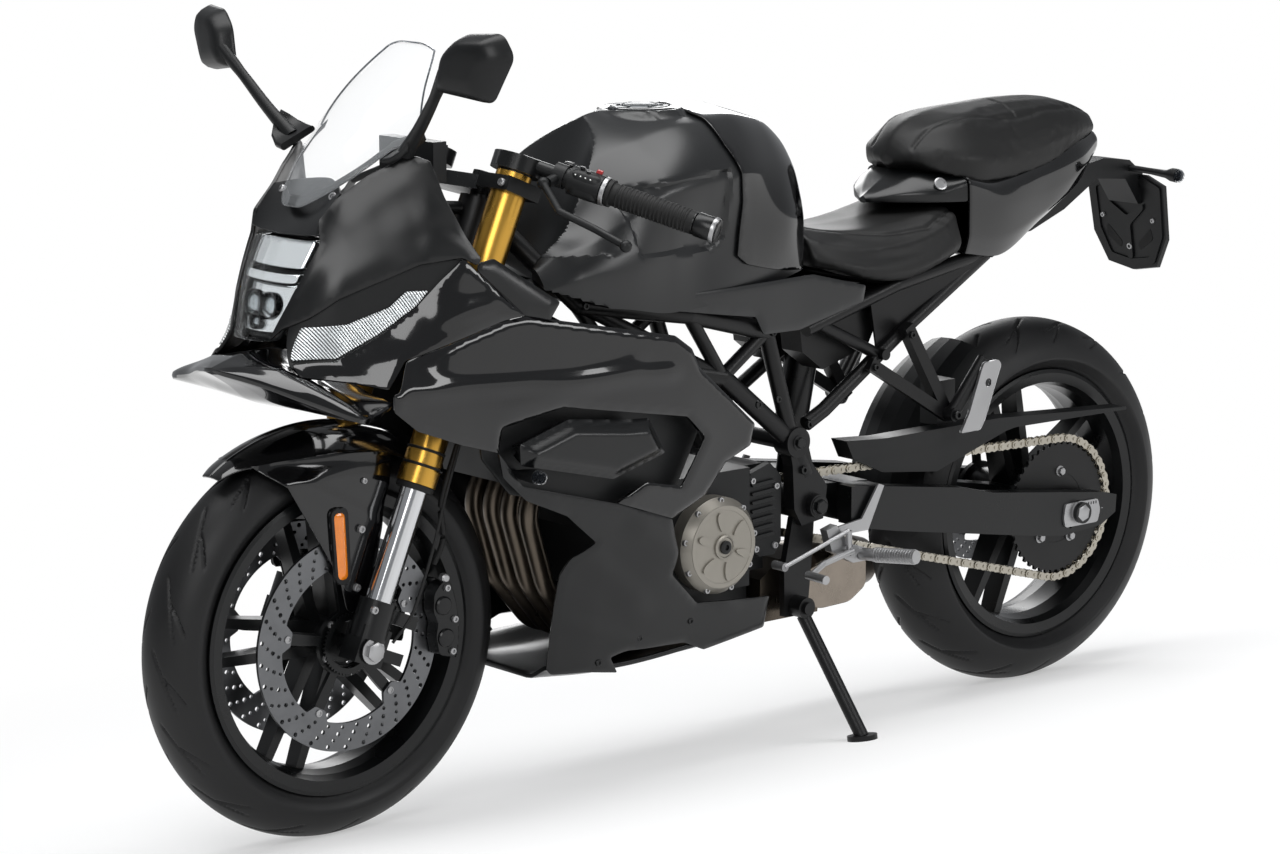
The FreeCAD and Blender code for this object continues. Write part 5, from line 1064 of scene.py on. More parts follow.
def unleaned(points):
    """The row's metres back to upright millimetres, the reverse of leaned."""
    origin = leaned((0, 0, 0))
    axes = np.stack([leaned(v) - origin for v in ((1, 0, 0), (0, 1, 0), (0, 0, 1))])
    return (points - origin) @ np.linalg.inv(axes)


def edge_distance_open(line, x, y):
    """Distance of points to the nearest run of an open line."""
    best = np.full(len(x), 1e9)
    for a, b in zip(line[:-1], line[1:]):
        run = b - a
        t = np.clip(((x - a[0]) * run[0] + (y - a[1]) * run[1]) / (run @ run), 0, 1)
        best = np.minimum(best, np.hypot(x - a[0] - t * run[0], y - a[1] - t * run[1]))
    return best


def bake_modifiers(piece):
    """The piece's mesh with its modifiers applied, which are then cleared."""
    graph = bpy.context.evaluated_depsgraph_get()
    mesh = bpy.data.meshes.new_from_object(piece.evaluated_get(graph))
    piece.modifiers.clear()
    return mesh


SEAT_CAP, SEAT_SHRINK = 0.0035, 0.001
padded_seat("rider_seat", "rider_cushion", SEAT_CAP, SEAT_SHRINK,
            [[(-168, 44), (-240, 66), (-320, 98), (-400, 112), (-462, 96)]])
padded_seat("pillion_seat", "pillion_cushion", SEAT_CAP, SEAT_SHRINK,
            [[(-430, 46), (-520, 62), (-640, 74), (-760, 60), (-850, 34)], [(-640, 0), (-640, 74)]])

# Lamp: dark house, metallised reflectors, two projectors and a clear lens

LENS = [
    (753, [(852, 0), (849, 26), (839, 40), (800, 40)]),
    (786, [(842, 0), (838, 33), (826, 50), (786, 50)]),
    (818, [(830, 0), (826, 40), (812, 60), (772, 60)]),
    (858, [(812, 0), (808, 44), (794, 68), (755, 66)]),
    (897, [(790, 0), (786, 46), (774, 72), (738, 72)]),
]


def lamp_face(low, high, back, share=1.0, rows=24):
    """The lamp's front as a grid between two heights: level curves through the lens points, moved back."""
    z = np.linspace(low, high, rows)
    x, y = section_rows(LENS, z)
    way = np.linspace(0, 3, 22)
    gx, gy = (np.stack([eased([0, 1, 2, 3], rows, np.full(len(z), w)) for w in way], 1)
              for rows in (x - back, y * share))
    gz = np.repeat(z[:, None], len(way), 1)
    left = np.stack([gx, gy, gz], -1)
    grid = np.concatenate([left[:, ::-1], (left * [1, -1, 1])[:, 1:]], 1)
    return grid.reshape(-1, 3), grid_faces(rows, 2 * len(way) - 1)


lens = new_piece("lamp_lens", *lamp_face(754, 896, 0.5), CLEAR, wall=2.0)
house = new_piece("lamp_house", *lamp_face(754, 896, 26, 0.93), SATIN_BLACK, wall=3)
upper_bowl = new_piece("upper_reflector", *lamp_face(856, 892, 10, 0.9), MIRROR_CHROME, wall=2, bevel=0.6)
light_bar = new_piece("lamp_cross_bar", *lamp_face(836, 848, 6, 0.94, 6), MIRROR_CHROME, wall=5, bevel=1)
lower_bowl = new_piece("lower_reflector", *lamp_face(764, 830, 19, 0.86), MIRROR_CHROME, wall=2)
glasses, shrouds = [], []
for x, y, z, r in ((829, 20, 800, 17), (829, -20, 800, 17), (838, 0, 776, 9)):
    at, aim = (x - 17, y, z), (1, 0, 0.18)
    shrouds.append(lathe([(r + 3, 0), (r + 3, 11), (r + 1, 12.5), (r, 11), (r - 1, 2)], at, aim, 32))
    glasses.append(lathe([(0, 10.5), (r * 0.5, 9.4), (r * 0.86, 6), (r - 0.6, 2), (0, 1.5)], at, aim, 32))
one_piece("projector_shrouds", shrouds, GLOSS_BLACK)
one_piece("projector_lenses", glasses, PROJECTOR)
stands_for("headlight", "clear_lens", lens, house, upper_bowl, light_bar, lower_bowl)

# Engine side: ribs, plug and screws on the round cover, louvres on the sprocket cover

COVER_MIDDLE = np.array([92.0, 176.0, 372.0])
drop_angle = np.linspace(0, 2 * math.pi, 28, endpoint=False)
along = 40 + 15 * np.cos(drop_angle)
across = (4.0 + 3.6 * (np.cos(drop_angle) * 0.5 + 0.5)) * np.sin(drop_angle)
drops = []
for k in range(6):
    a = 2 * math.pi * k / 6 + 0.35
    loop = np.stack([along * math.cos(a) - across * math.sin(a), along * math.sin(a) + across * math.cos(a)],
                    1)
    points, out = slab(loop, 5, -2.5, 3.0)
    drops.append((points + COVER_MIDDLE, out))
drops.append(lathe([(58, -3), (64.5, -1.5), (64.5, 0.6), (61, 1.4), (57, 0.6), (56, -2)], COVER_MIDDLE, LEFT,
                   72))
drops.append(lathe([(0, -2), (19, -2), (19, 3), (16, 4.5), (15, 3), (0, 3)], COVER_MIDDLE, LEFT, 40))
one_piece("cover_ribs", drops, ENGINE_GREY, sharp=50)
new_piece("cover_plug", *lathe([(0, 3), (10.5, 3), (10.5, 6.5), (8, 7.5), (4.6, 7.5), (4.2, 4.5), (0, 4.5)],
                               COVER_MIDDLE, LEFT, 36), CAST_BLACK)
cover_screws = [cap_screw(p, LEFT, 5) for p in turned_about(COVER_MIDDLE, 71.5, 9, 165.5, 0.2)]
cover_screws += cap_screws((-60, 124, 345, 5.5), (-62, 124, 440, 5.5), (-12, 124, 454, 5.5),
                           (-20, 124, 344, 5.5))
one_piece("engine_screws", cover_screws, SILVER)
louvres = []
for k in range(7):
    z = 362 + 14 * k
    louvres.append(slab(rounded([(-60, z), (-56, z + 6.5), (-8, z + 3), (-12, z - 3)], 3), 8, 120, 128.5))
one_piece("sprocket_cover_louvres", louvres, SATIN_BLACK, bevel=0.8)

# Front mudguard: an arch round the tyre and a smooth leaf on each side

AXLE = FRONT_AXLE[[0, 2]]
ARCH_AT = [50, 57, 66, 80, 95, 112, 128]
ARCH_HALF = [12, 28, 50, 67, 71, 71, 66]
ARCH_TOP = [322, 324, 322, 320, 320, 320, 322]
LEAF_Y = 76.4


def arch_rows(angle):
    """The arch at an angle: its half width, its height on the middle line and the fall to its lower edge."""
    half = eased(ARCH_AT, ARCH_HALF, angle)
    return half, eased(ARCH_AT, ARCH_TOP, angle), 46 * (half / 78) ** 2.2


arch_angle = np.linspace(54, 128, 90)
arch_half, arch_top, arch_fall = (row[:, None] for row in arch_rows(arch_angle))
arch_side = np.linspace(-1, 1, 61)[None]
arch_r = arch_top - arch_fall * np.abs(arch_side) ** 2.6 + 1.2 * np.exp(-(arch_side / 0.05) ** 2)
arch_flat = AXLE + polar(arch_r, arch_angle[:, None])
arch = np.stack([arch_flat[..., 0], arch_half * arch_side, arch_flat[..., 1]], -1).reshape(-1, 3)
fender_top = new_piece("mudguard_arch", arch, grid_faces(90, 61)[:, ::-1], GLOSS_BLACK, "steering", wall=3)
rim_angle = np.linspace(62, 106, 16)
_, rim_top, rim_fall = arch_rows(rim_angle)
top_edge = AXLE + polar(rim_top - rim_fall + 2, rim_angle)
low_edge = [(648, 545), (664, 500), (676, 420), (700, 352), (732, 345), (744, 400), (790, 478), (842, 560)]
flat, faces = fill(np.concatenate([top_edge, rounded(low_edge, 16, 5)[4:-4]]), 6)
reach = flat - AXLE
leaf_half, leaf_top, leaf_fall = arch_rows(np.degrees(np.arctan2(reach[:, 1], reach[:, 0])))
rim_at = leaf_top - leaf_fall
blend = smooth_step(np.hypot(*reach.T), rim_at - 34, rim_at - 1)
crease_line = edge_distance_open(np.array([(832, 560), (742, 512), (668, 470)], float), *flat.T)
leaf_y = LEAF_Y + (leaf_half + 0.6 - LEAF_Y) * blend + 2.2 * np.exp(-(crease_line / 14) ** 2) * (1 - blend)
leaf = np.stack([flat[:, 0], leaf_y, flat[:, 1]], 1)
leaves = new_piece("mudguard_sides", *two_sided(leaf, faces[:, ::-1]), GLOSS_BLACK, "steering", wall=3,
                   bevel=0.8)
stands_for("front_fender", "gloss_black", fender_top, leaves)
rims = slab(rounded([(728, 393), (755, 393), (763, 506), (733, 506)], 12, 6), 6, 77, 81)
both_sides("reflector_frames", [rims], SATIN_BLACK, "steering", bevel=1.2)
amber_loop = rounded([(733, 400), (750, 400), (757, 499), (738, 499)], 9, 6)
flat, faces = fill(amber_loop, 4)
points, out = plate(flat, faces, 79, 81)
points[:len(flat), 1] = 81 + 2.6 * smooth_step(edge_distance(amber_loop, *flat.T), 0, 5)
amber = both_sides("amber_slots", [(points, out)], AMBER, "steering")
stands_for("fender_reflectors", "amber", amber)
both_sides("mudguard_screws", cap_screws((708, 78.5, 470, 6), (716, 77, 384, 6), (700, 77, 540, 4.5)), SILVER,
           "steering")

# Front brake calipers: two halves round the disc, tied by a bridge, with piston caps and bolts

body_angle = np.concatenate([np.linspace(133, 171, 12), [171, 160, 152, 144, 134, 131]])
body_r = np.concatenate([np.full(12, 181.0), [150, 139, 144, 138, 148, 166]])
caliper_loop = rounded(polar(body_r, body_angle), 5, 3)
bridge_angle = np.concatenate([np.linspace(137, 167, 9), np.linspace(167, 137, 9)])
bridge_loop = polar(np.repeat([180.0, 165.5], 9), bridge_angle)


def at_fork(*shapes):
    """Shapes in fork-leg millimetres as one, carried to upright millimetres."""
    points, faces = gathered(*shapes)
    return on_fork(points), faces


def round_axle(radius, degrees, y):
    """A point by its radius and angle about the front axle, in fork-leg millimetres."""
    x, z = polar(radius, degrees)
    return (x, y, z)


caps = [lathe([(0, -2), (14, -2), (14, 2), (12, 4), (4, 4.4), (0, 4.4)], round_axle(158, a, 95), LEFT, 36)
        for a in (143, 161)]
calipers = both_sides("radial_calipers", [at_fork(
    slab(caliper_loop, 6, 72.5, 95), slab(caliper_loop, 6, 38, 60), slab(bridge_loop, 6, 58, 74), *caps)],
    CAST_BLACK, "steering", bevel=1.6)
stands_for("front_calipers", "cast_black", calipers)
tie_bolts = [cap_screw(round_axle(r, a, 95), LEFT, 5.5) for r, a in ((172, 135), (174, 152), (172, 168))]
tie_bolts.append(lathe([(0, 0), (7, 0), (7, 9), (5, 11), (0, 11)], round_axle(178, 131, 84), LEFT, 20))
both_sides("caliper_bolts", [at_fork(*tie_bolts)], SILVER, "steering")
LEG_Y = 105
UP_LEG = on_fork([0, LEG_Y, 1]) - on_fork([0, LEG_Y, 0])
AHEAD_OF_LEG = on_fork([1, 0, 0]) - on_fork([0, 0, 0])
both_sides("fork_collar_grooves", [
    lathe([(27.6, 0), (28.9, 0.8), (28.9, 3.6), (27.6, 4.4)], on_fork([0, LEG_Y, z]), UP_LEG, 48)
    for z in (276, 299, 262)], SATIN_BLACK, "steering")

# Mirrors: a rounded housing with a flat glass let into its rear face

HEAD_FRONT = [(262, 1120), (274, 1168), (300, 1188), (352, 1190), (366, 1168), (336, 1112)]
HEAD_BACK = [(250, 1114), (264, 1174), (292, 1198), (360, 1202), (380, 1170), (342, 1102)]
front_loop = rounded(HEAD_FRONT, 13, 7)
back_loop = rounded(HEAD_BACK, 13, 7)
middle_y, middle_z = back_loop.mean(0)
rings = []
for share, ahead, size in ((1, 712, 0.0), (1, 712.5, 0.45), (1, 711, 0.8), (0.9, 707, 0.95), (0.55, 698, 1.0),
                           (0.2, 687, 1.0), (0, 681, 0.985), (0, 680, 0.95), (0, 681.5, 0.91), (0, 682, 0.0)):
    loop = front_loop * share + back_loop * (1 - share)
    loop = (loop - [middle_y, middle_z]) * size + [middle_y, middle_z]
    rings.append(np.stack([ahead - 0.22 * (loop[:, 0] - 260), loop[:, 0], loop[:, 1]], 1))
rings = np.array(rings)
head = closed_poles(rings.reshape(-1, 3), grid_faces(len(rings), rings.shape[1], wrap_columns=True))
stalk_path = curve_through([(664, 140, 1020), (674, 186, 1058), (684, 232, 1102), (696, 274, 1144)])
stalk = tube(stalk_path, np.interp(np.linspace(0, 1, len(stalk_path)), [0, 0.3, 0.7, 1], [12, 9.5, 8, 10.5]),
             20)
foot_loop = rounded([(698, 1010), (638, 1036), (632, 1028), (692, 1000)], 6, 4)
foot_rows = np.array([np.stack([foot_loop[:, 0] * k + 665 * (1 - k), np.full(len(foot_loop), y),
                                foot_loop[:, 1] * k + (1018 + rise) * (1 - k) + rise * 0.4], 1)
                      for y, k, rise in ((124, 0.0, 0), (124, 1.0, 0), (140, 0.98, 6), (156, 0.8, 18),
                                         (164, 0.5, 26), (166, 0.0, 28))])
foot = closed_poles(foot_rows.reshape(-1, 3), grid_faces(6, len(foot_loop), wrap_columns=True))
mirrors = both_sides("mirror_heads", [outward(gathered(head))], SATIN_BLACK, sharp=70)
stalks = both_sides("mirror_stalks", [outward(stalk)], SATIN_BLACK, sharp=60)
feet = both_sides("mirror_feet", [outward(foot)], SATIN_BLACK, sharp=60)
stands_for("mirrors", "satin_black", mirrors, stalks, feet)
glass_loop = (back_loop - [middle_y, middle_z]) * 0.9 + [middle_y, middle_z]
flat, faces = fill(glass_loop, 9)
glass = np.stack([681.2 - 0.22 * (flat[:, 0] - 260), flat[:, 0], flat[:, 1]], 1)
both_sides("mirror_glasses", [(glass, faces)], MIRROR_CHROME)

# Frame and swingarm hardware

frame_bolts = [hex_bolt((-130, 152, 402), LEFT, 12, 9), hex_bolt((-91, 146, 508), LEFT, 9, 8)] + cap_screws(
    (-105, 140, 462, 7), (-30, 150, 690, 6), (-137, 118, 528, 7), (330, 131, 765, 6), (-350, 130, 650, 6),
    (-270, 130, 606, 6), (-434, 150, 512, 8), (-560, 97, 759, 6))
one_piece("frame_bolts", frame_bolts, CAST_BLACK)
adjuster_loop = rounded([(-768, 290), (-690, 290), (-686, 306), (-690, 330), (-768, 330), (-774, 310)], 5)
BACK = (-1, 0, 0)
one_piece("chain_adjuster", [slab(adjuster_loop, 7, 151, 156, [ring_points(13, 28, (-725, 312))]),
                             hex_bolt((-725, 156, 312), LEFT, 15, 10),
                             lathe([(0, 0), (3.5, 0), (3.5, 26), (0, 26)], (-770, 146, 312), BACK, 12),
                             lathe([(0, 0), (6.5, 0), (6.5, 5), (0, 5)], (-780, 146, 312), BACK, 6)],
          SILVER, sharp=40)
marks = [slab([(x, 322), (x + 1.6, 322), (x + 1.6, 327), (x, 327)], 5, 155.8, 156.5)
         for x in range(-764, -728, 6)]
one_piece("adjuster_marks", marks, CAST_BLACK)
one_piece("front_axle_nut", [hex_bolt((725, 129, 300), LEFT, 15, 10)] + cap_screws((721, 126, 360, 6)),
          SILVER, "steering")

# Fork: dust seals and clamp bolts, hoses up the legs

seals, fork_screws, hoses = [], [], []
for s in (1, -1):
    seals.append(lathe([(21, -9), (27.5, -9), (28.5, -6), (28.5, -1), (26, 0), (21, 0)],
                       on_fork([0, LEG_Y * s, 250]), UP_LEG, 40))
    fork_screws += [cap_screw(on_fork([34, (LEG_Y + 22) * s, z]), AHEAD_OF_LEG, 6) for z in (536, 556, 704)]
    brake = curve_through(on_fork([(-104, 72 * s, 150), (-96, 84 * s, 190), (-62, 96 * s, 240),
                                   (-40, 120 * s, 330), (-34, 130 * s, 430), (-32, 128 * s, 500),
                                   (-24, 116 * s, 548)]))
    wire = curve_through(on_fork([(-30, 128 * s, 20), (-44, 134 * s, 70), (-46, 132 * s, 160),
                                  (-38, 131 * s, 260), (-30, 134 * s, 380), (-28, 132 * s, 500),
                                  (-16, 118 * s, 550)]))
    hoses += [tube(brake, 4.6), tube(wire, 2.4)]
one_piece("fork_dust_seals", seals, RUBBER, "steering")
one_piece("clamp_screws", fork_screws, SILVER, "steering")
one_piece("brake_hoses", hoses, RUBBER, "steering")

# Handlebars: ribbed grips, bright rings, switch boxes and lever pivot caps

BAR_START = np.array([432.0, 120.0, 985.0])
BAR_AIM = np.array([293.0, 350.0, 905.0]) - BAR_START
BAR_AIM /= np.linalg.norm(BAR_AIM)
BAR_SIDE = np.cross(BAR_AIM, [0, 0, 1])
BAR_SIDE /= np.linalg.norm(BAR_SIDE)
BAR_UP = np.cross(BAR_SIDE, BAR_AIM)


def on_bar(run, ahead, high):
    """A point by its distance along the bar, ahead of it and above it."""
    run, ahead, high = (np.asarray(v)[..., None] for v in (run, ahead, high))
    return BAR_START + BAR_AIM * run - BAR_SIDE * ahead + BAR_UP * high


def round_bar(profile):
    """A shape turned about the bar: (radius, distance along it)."""
    return lathe(profile, BAR_START, BAR_AIM, 40)


RIB_PITCH = 6.2
grip_run = np.linspace(134, 270, 120)
grip_r = 17.2 + 0.9 * (np.sin(grip_run / RIB_PITCH * 2 * math.pi) > 0.1) * (grip_run > 146) * (grip_run < 262)
grip_r = grip_r + 3.4 * (grip_run < 140)
grip = round_bar([(11, 134)] + list(zip(grip_r, grip_run)) + [(11, 270)])
both_sides("ribbed_grips", [grip], RUBBER, "steering", sharp=30)
weight = round_bar([(0, 274), (17.6, 274), (18.4, 276), (18.4, 303), (16, 308.5), (9, 309), (8, 305),
                    (0, 305)])
both_sides("bar_end_weights", [weight], CAST_BLACK, "steering")
both_sides("bar_end_rings", [round_bar([(17.2, 300), (18.9, 300), (18.9, 304.5), (17.0, 308)])], SILVER,
           "steering")

# Switch boxes: rings of rounded squares, each coordinate a power of a cosine or sine, narrower at both ends.
BOX_HALF, BOX_POWER = 21, 0.55
box_run = np.linspace(76, 123, 12)
way = np.arange(28) / 28 * 2 * math.pi
ring_a, ring_b = (np.sign(v) * np.abs(v) ** BOX_POWER * BOX_HALF for v in (np.cos(way), np.sin(way)))
taper = 1 - 0.12 * smooth_step(np.abs(box_run - 99.5), 16, 24)
box_grid = on_bar(box_run[:, None] + ring_a * 0, ring_a[None] * taper[:, None], ring_b[None] * taper[:, None])
both_sides("switch_boxes", [capped(box_grid)], SATIN_BLACK, "steering", bevel=0.6)
buttons = [lathe([(0, 0), (4.4, 0), (4.0, 3), (0, 3.6)], on_bar(88, -6, 22), BAR_UP, 20),
           lathe([(0, 0), (3.4, 0), (3.2, 2.4), (0, 3)], on_bar(100, -12, 20), BAR_UP, 20)]
both_sides("switch_buttons", buttons, CAST_BLACK, "steering")
rocker = lathe([(0, 0), (6.4, 0), (5.8, 4), (0, 4.6)], on_bar(112, 3, 22), BAR_UP, 4)
both_sides("red_rockers", [rocker], RED_MARK, "steering")
marks = [lathe([(0, 0), (1.3, 0), (1.1, 0.8), (0, 0.8)], on_bar(r, -20, 13), BAR_UP + BAR_SIDE * 0.6, 10)
         for r in (84, 92, 100, 108)]
both_sides("switch_marks", marks, WHITE_MARK, "steering")
perch = lathe([(0, 0), (9, 0), (9, 9), (6, 11), (0, 11)], on_bar(57, 30, 6), BAR_UP, 24)
both_sides("lever_pivot_caps", [perch], CAST_BLACK, "steering")

# Screws and folded details on the plate holder, and the seat lock

BOARD_X, BOARD_TOP, BOARD_SLOPE = -984, 848, 0.17


def board_front(y, z, proud=0.0):
    """A point on the plate board's forward face."""
    return (BOARD_X - BOARD_SLOPE * (BOARD_TOP - z) + proud, y, z)


plate_screws = [cap_screw(board_front(y, z), (1, 0, -BOARD_SLOPE), r) for y, z, r in (
    (-28, 812, 6), (28, 812, 6), (0, 722, 6), (-58, 772, 4.5), (58, 772, 4.5))]
one_piece("plate_screws", plate_screws, SILVER)
for name, loop, holes, finish_used, low, high in (
        ("plate_board_rim", [(-46, 846), (46, 846), (82, 831), (78, 745), (53, 695), (0, 686), (-53, 695),
                             (-78, 745), (-82, 831)],
         [[(-34, 834), (34, 834), (68, 822), (65, 750), (44, 706), (0, 699), (-44, 706), (-65, 750),
           (-68, 822)]],
         SATIN_BLACK, 0.0, 3.0),
        ("plate_board_ribs", [(-6, 700), (6, 700), (6, 760), (40, 790), (40, 800), (0, 776), (-40, 800),
                              (-40, 790), (-6, 760)], [], SATIN_BLACK, 0.0, 4.0),
        ("plate_board_slots", [(-54, 738), (-22, 716), (-18, 728), (-50, 758)], [], RUBBER, -0.4, 0.6)):
    points, out = slab(rounded(loop, 5), 9, low, high, [rounded(h, 5) for h in holes])
    board = np.stack(board_front(points[:, 0], points[:, 2], points[:, 1]), 1)
    shape = (board, [tuple(f)[::-1] for f in out])
    if name == "plate_board_slots":
        shape = mirror_of(shape)
    new_piece(name, *outward(shape), finish_used)
new_piece("seat_lock", *lathe([(0, 0), (11, 0), (11, 2.6), (9, 3.4), (7.4, 3.4), (7, 2.2), (0, 2.2)],
                              (-447, 92, 882), (0.25, 0.8, 0.55), 32), SILVER)

# Fuel cap: ring of screws, centre disc and a raised ring

UP, CAP_MIDDLE = (0, 0, 1), (CAP_X, 0, CAP_TOP)
cap_top = [cap_screw((CAP_X + 33 * math.cos(a), 33 * math.sin(a), CAP_TOP + 0.2), UP, 3.2, 1.8)
           for a in np.arange(6) / 6 * 2 * math.pi + 0.3]
cap_top.append(lathe([(0, 0), (24, 0), (24, 1.4), (22, 2.4), (0, 3.0)], CAP_MIDDLE, UP, 48))
cap_top.append(lathe([(27, 0), (28.5, 1.6), (30, 0)], CAP_MIDDLE, UP, 48))
one_piece("cap_fittings", cap_top, CAP_ALLOY, "fuel_cap_lid")

# Screen: a curved sheet from level curves, cut off along its foot, with a polished edge whose dark tint is
# painted shade, and a dark foot band

SCREEN = np.array([(925, 778, 126, 150), (985, 742, 132, 110), (1040, 690, 118, 66), (1095, 634, 92, 38),
                   (1154, 560, 54, 14), (1162, 548, 44, 10)], float)


def screen_at(z, across, inward=0.0):
    """Points of the screen at heights z and shares across (-1 to 1): x falls back as a power of the share."""
    shift, half, drop = (eased(SCREEN[:, 0], SCREEN[:, k], z.ravel()).reshape(z.shape) for k in (1, 2, 3))
    x = shift - drop * np.abs(across) ** 2.2 - inward
    return np.stack([x, half * across * (1 - inward / 90), z], -1)


screen_across = np.linspace(-1, 1, 61)
foot_z = np.full(61, 950.0)
for step in range(40):
    foot_x = screen_at(foot_z, screen_across)[:, 0]
    wanted = np.interp(foot_x, [520, 660, 768, 830], [1070, 1020, 938.5, 938.5])
    foot_z = foot_z * 0.6 + wanted * 0.4
rise = np.linspace(0, 1, 44)[:, None]
screen_z = foot_z * (1 - rise) + (1160.5 - 9 * screen_across**4) * rise
sheet = screen_at(screen_z, np.repeat(screen_across[None], 44, 0))
SCREEN_AIM = (1, 0, 0.3)
screen = new_piece("clear_screen", *outward_sheet(sheet.reshape(-1, 3), grid_faces(44, 61), SCREEN_AIM),
                   SCREEN_CLEAR, wall=3)
stands_for("windscreen", "clear_lens", screen)
edge_path = np.concatenate([sheet[1:, 0], sheet[-1, 1:-1], sheet[:0:-1, -1]])
# The edge tube's dark tint is painted shade: the clear screen's edge shows a dark line in the light.
new_piece("screen_edge", *tube(edge_path, 1.5, 8), SMOKE_AND_EDGE_SHADE)
band_rise = np.linspace(0, 1, 5)[:, None]
band_z = foot_z + 15 * band_rise * (1 - 0.25 * screen_across**2)
band = screen_at(band_z, np.repeat(screen_across[None], 5, 0), 3.4)
new_piece("screen_foot_band", *outward_sheet(band.reshape(-1, 3), grid_faces(5, 61), SCREEN_AIM), SATIN_BLACK,
          wall=1.2)
screen_screws = []
for z, share, aim, r in ((954.0, 62 / 129, (0.8, 0.25, 0.45), 6.5), (1006.0, 104 / 128, (0.7, 0.6, 0.3), 5)):
    for side in (-1, 1):
        spot = screen_at(np.array([z]), np.array([side * share]))[0]
        screen_screws.append(cap_screw(spot, aim * np.array([1, side, 1]), r))
one_piece("screen_screws", screen_screws, SILVER)

# Indicators: dark bodies on short stems with clear ends

STEMS = [([(505, 182, 541), (505, 206, 543), (505, 228, 544), (505, 236, 544)], [6.0, 8.5, 11, 11.4]),
         ([(-962, 34, 864), (-965, 80, 862), (-967, 112, 860), (-968, 124, 860), (-969, 136, 859)],
          [5.5, 5.5, 7, 11.5, 11.8])]
stems = both_sides("indicator_bodies", [outward(tube(line, radii, 24)) for line, radii in STEMS], SATIN_BLACK)
front_glass = lathe([(0, 0), (10.6, 0), (10.6, 7), (8, 13), (4, 15.6), (0, 16)], (505, 236, 544), LEFT, 28)
rear_glass = lathe([(0, 0), (11.2, 0), (11, 5), (8, 9), (4, 11), (0, 11.4)], (-969, 136, 859), LEFT, 28)
glasses = both_sides("indicator_lenses", [front_glass, rear_glass], SMOKE_AND_EDGE_SHADE)
stands_for("indicators", "clear_lens", stems, glasses)

# Chain: outer and inner links, rollers and pins round both pitch circles and the two straight runs

PITCH = 15.875
SMALL_R, BIG_R = (PITCH / (2 * math.sin(math.pi / teeth)) for teeth in (15, 47))
CHAIN_Y = 100
COUNTER = np.array([-50.0, 408.0])
HUB = np.array([-725.0, 312.0])
span = COUNTER - HUB
tilt = math.atan2(span[1], span[0])
lean_in = math.acos((BIG_R - SMALL_R) / np.hypot(*span))
rear_arc = np.linspace(tilt + lean_in, tilt + 2 * math.pi - lean_in, 200)
front_arc = np.linspace(tilt - lean_in, tilt + lean_in, 60)
loop_line = np.concatenate([HUB + BIG_R * np.stack([np.cos(rear_arc), np.sin(rear_arc)], 1),
                            COUNTER + SMALL_R * np.stack([np.cos(front_arc), np.sin(front_arc)], 1)])
loop_line = np.concatenate([loop_line, loop_line[:1]])
loop_run = np.concatenate([[0], np.cumsum(np.hypot(*np.diff(loop_line, axis=0).T))])
count = 2 * int(round(loop_run[-1] / PITCH / 2))
stops = np.arange(count + 1) / count * loop_run[-1]
pins = np.stack([np.interp(stops, loop_run, loop_line[:, k]) for k in (0, 1)], 1)
link_shapes = []
for k in range(count):
    start, end = pins[k], pins[k + 1]
    along = (end - start) / np.hypot(*(end - start))
    across = np.array([-along[1], along[0]])
    half_l = np.hypot(*(end - start)) / 2
    outline = [(-half_l - 6.4, 0), (-half_l - 4, 5.2), (-half_l + 2, 7.0), (0, 5.0), (half_l - 2, 7.0),
               (half_l + 4, 5.2), (half_l + 6.4, 0)]
    outline = np.array(outline + [(a, -b) for a, b in outline[-2:0:-1]])
    flat = (start + end) / 2 + outline[:, :1] * along + outline[:, 1:] * across
    n = len(flat)
    faces = [tuple(range(n))[::-1], tuple(range(n, 2 * n))]
    faces += [(i, (i + 1) % n, (i + 1) % n + n, i + n) for i in range(n)]
    for y0, y1 in (((5.0, 6.8), (-6.8, -5.0)) if k % 2 else ((3.1, 4.8), (-4.8, -3.1))):
        sides = [np.stack([flat[:, 0], np.full(n, CHAIN_Y + y), flat[:, 1]], 1) for y in (y1, y0)]
        link_shapes.append((np.concatenate(sides), faces))
    pin_at = (start[0], CHAIN_Y, start[1])
    link_shapes.append(lathe([(0, -8), (2.6, -8), (2.6, 8), (0, 8)], pin_at, LEFT, 8))
    link_shapes.append(lathe([(2.6, -3), (5.0, -3), (5.0, 3), (2.6, 3)], pin_at, LEFT, 10))
links = one_piece("roller_chain", link_shapes, NICKEL, sharp=35)
stands_for("chain", "chain_steel", links)

# Footrests, shields and panel fasteners

peg_start, peg_end = np.array([-208.0, 196, 320]), np.array([-222.0, 278, 328])
peg_aim = (peg_end - peg_start) / np.linalg.norm(peg_end - peg_start)
teeth = np.linspace(4, 80, 96)
rib = 10.4 + 1.8 * (np.sin(teeth / 5.2 * 2 * math.pi) > 0)
ribbed = lathe([(8, 4)] + list(zip(rib, teeth)) + [(8, 80)], peg_start, peg_aim, 22)
both_sides("footrest_ribs", [ribbed], SILVER, sharp=30)
heel = [(-433, 483), (-478, 484), (-488, 500), (-524, 588), (-516, 596), (-484, 594), (-478, 582),
        (-452, 515)]
heel_plate = slab(rounded(heel, 5), 7, 158, 162, [ring_points(7, 20, (-494, 560))])
both_sides("passenger_heel_plates", [outward(heel_plate)], SILVER, bevel=0.6)
shield = [(-118, 250), (-130, 290), (-205, 314), (-262, 296), (-262, 250), (-226, 228), (-160, 226)]
new_piece("exhaust_shield", *outward(slab(rounded(shield, 10), 8, 118, 121)), SHIELD, bevel=0.8)
panel_screws = []
for x, z, r in ((323, 222, 5.5), (62, 597, 6), (250, 250, 5), (150, 262, 5), (20, 600, 5)):
    y = float(side_height(SIDE, [x], [z])[0])
    panel_screws.append(cap_screw((x, y - 0.5, z), (0, 1, 0.05), r, 3.0))
both_sides("panel_screws", panel_screws, CAST_BLACK)
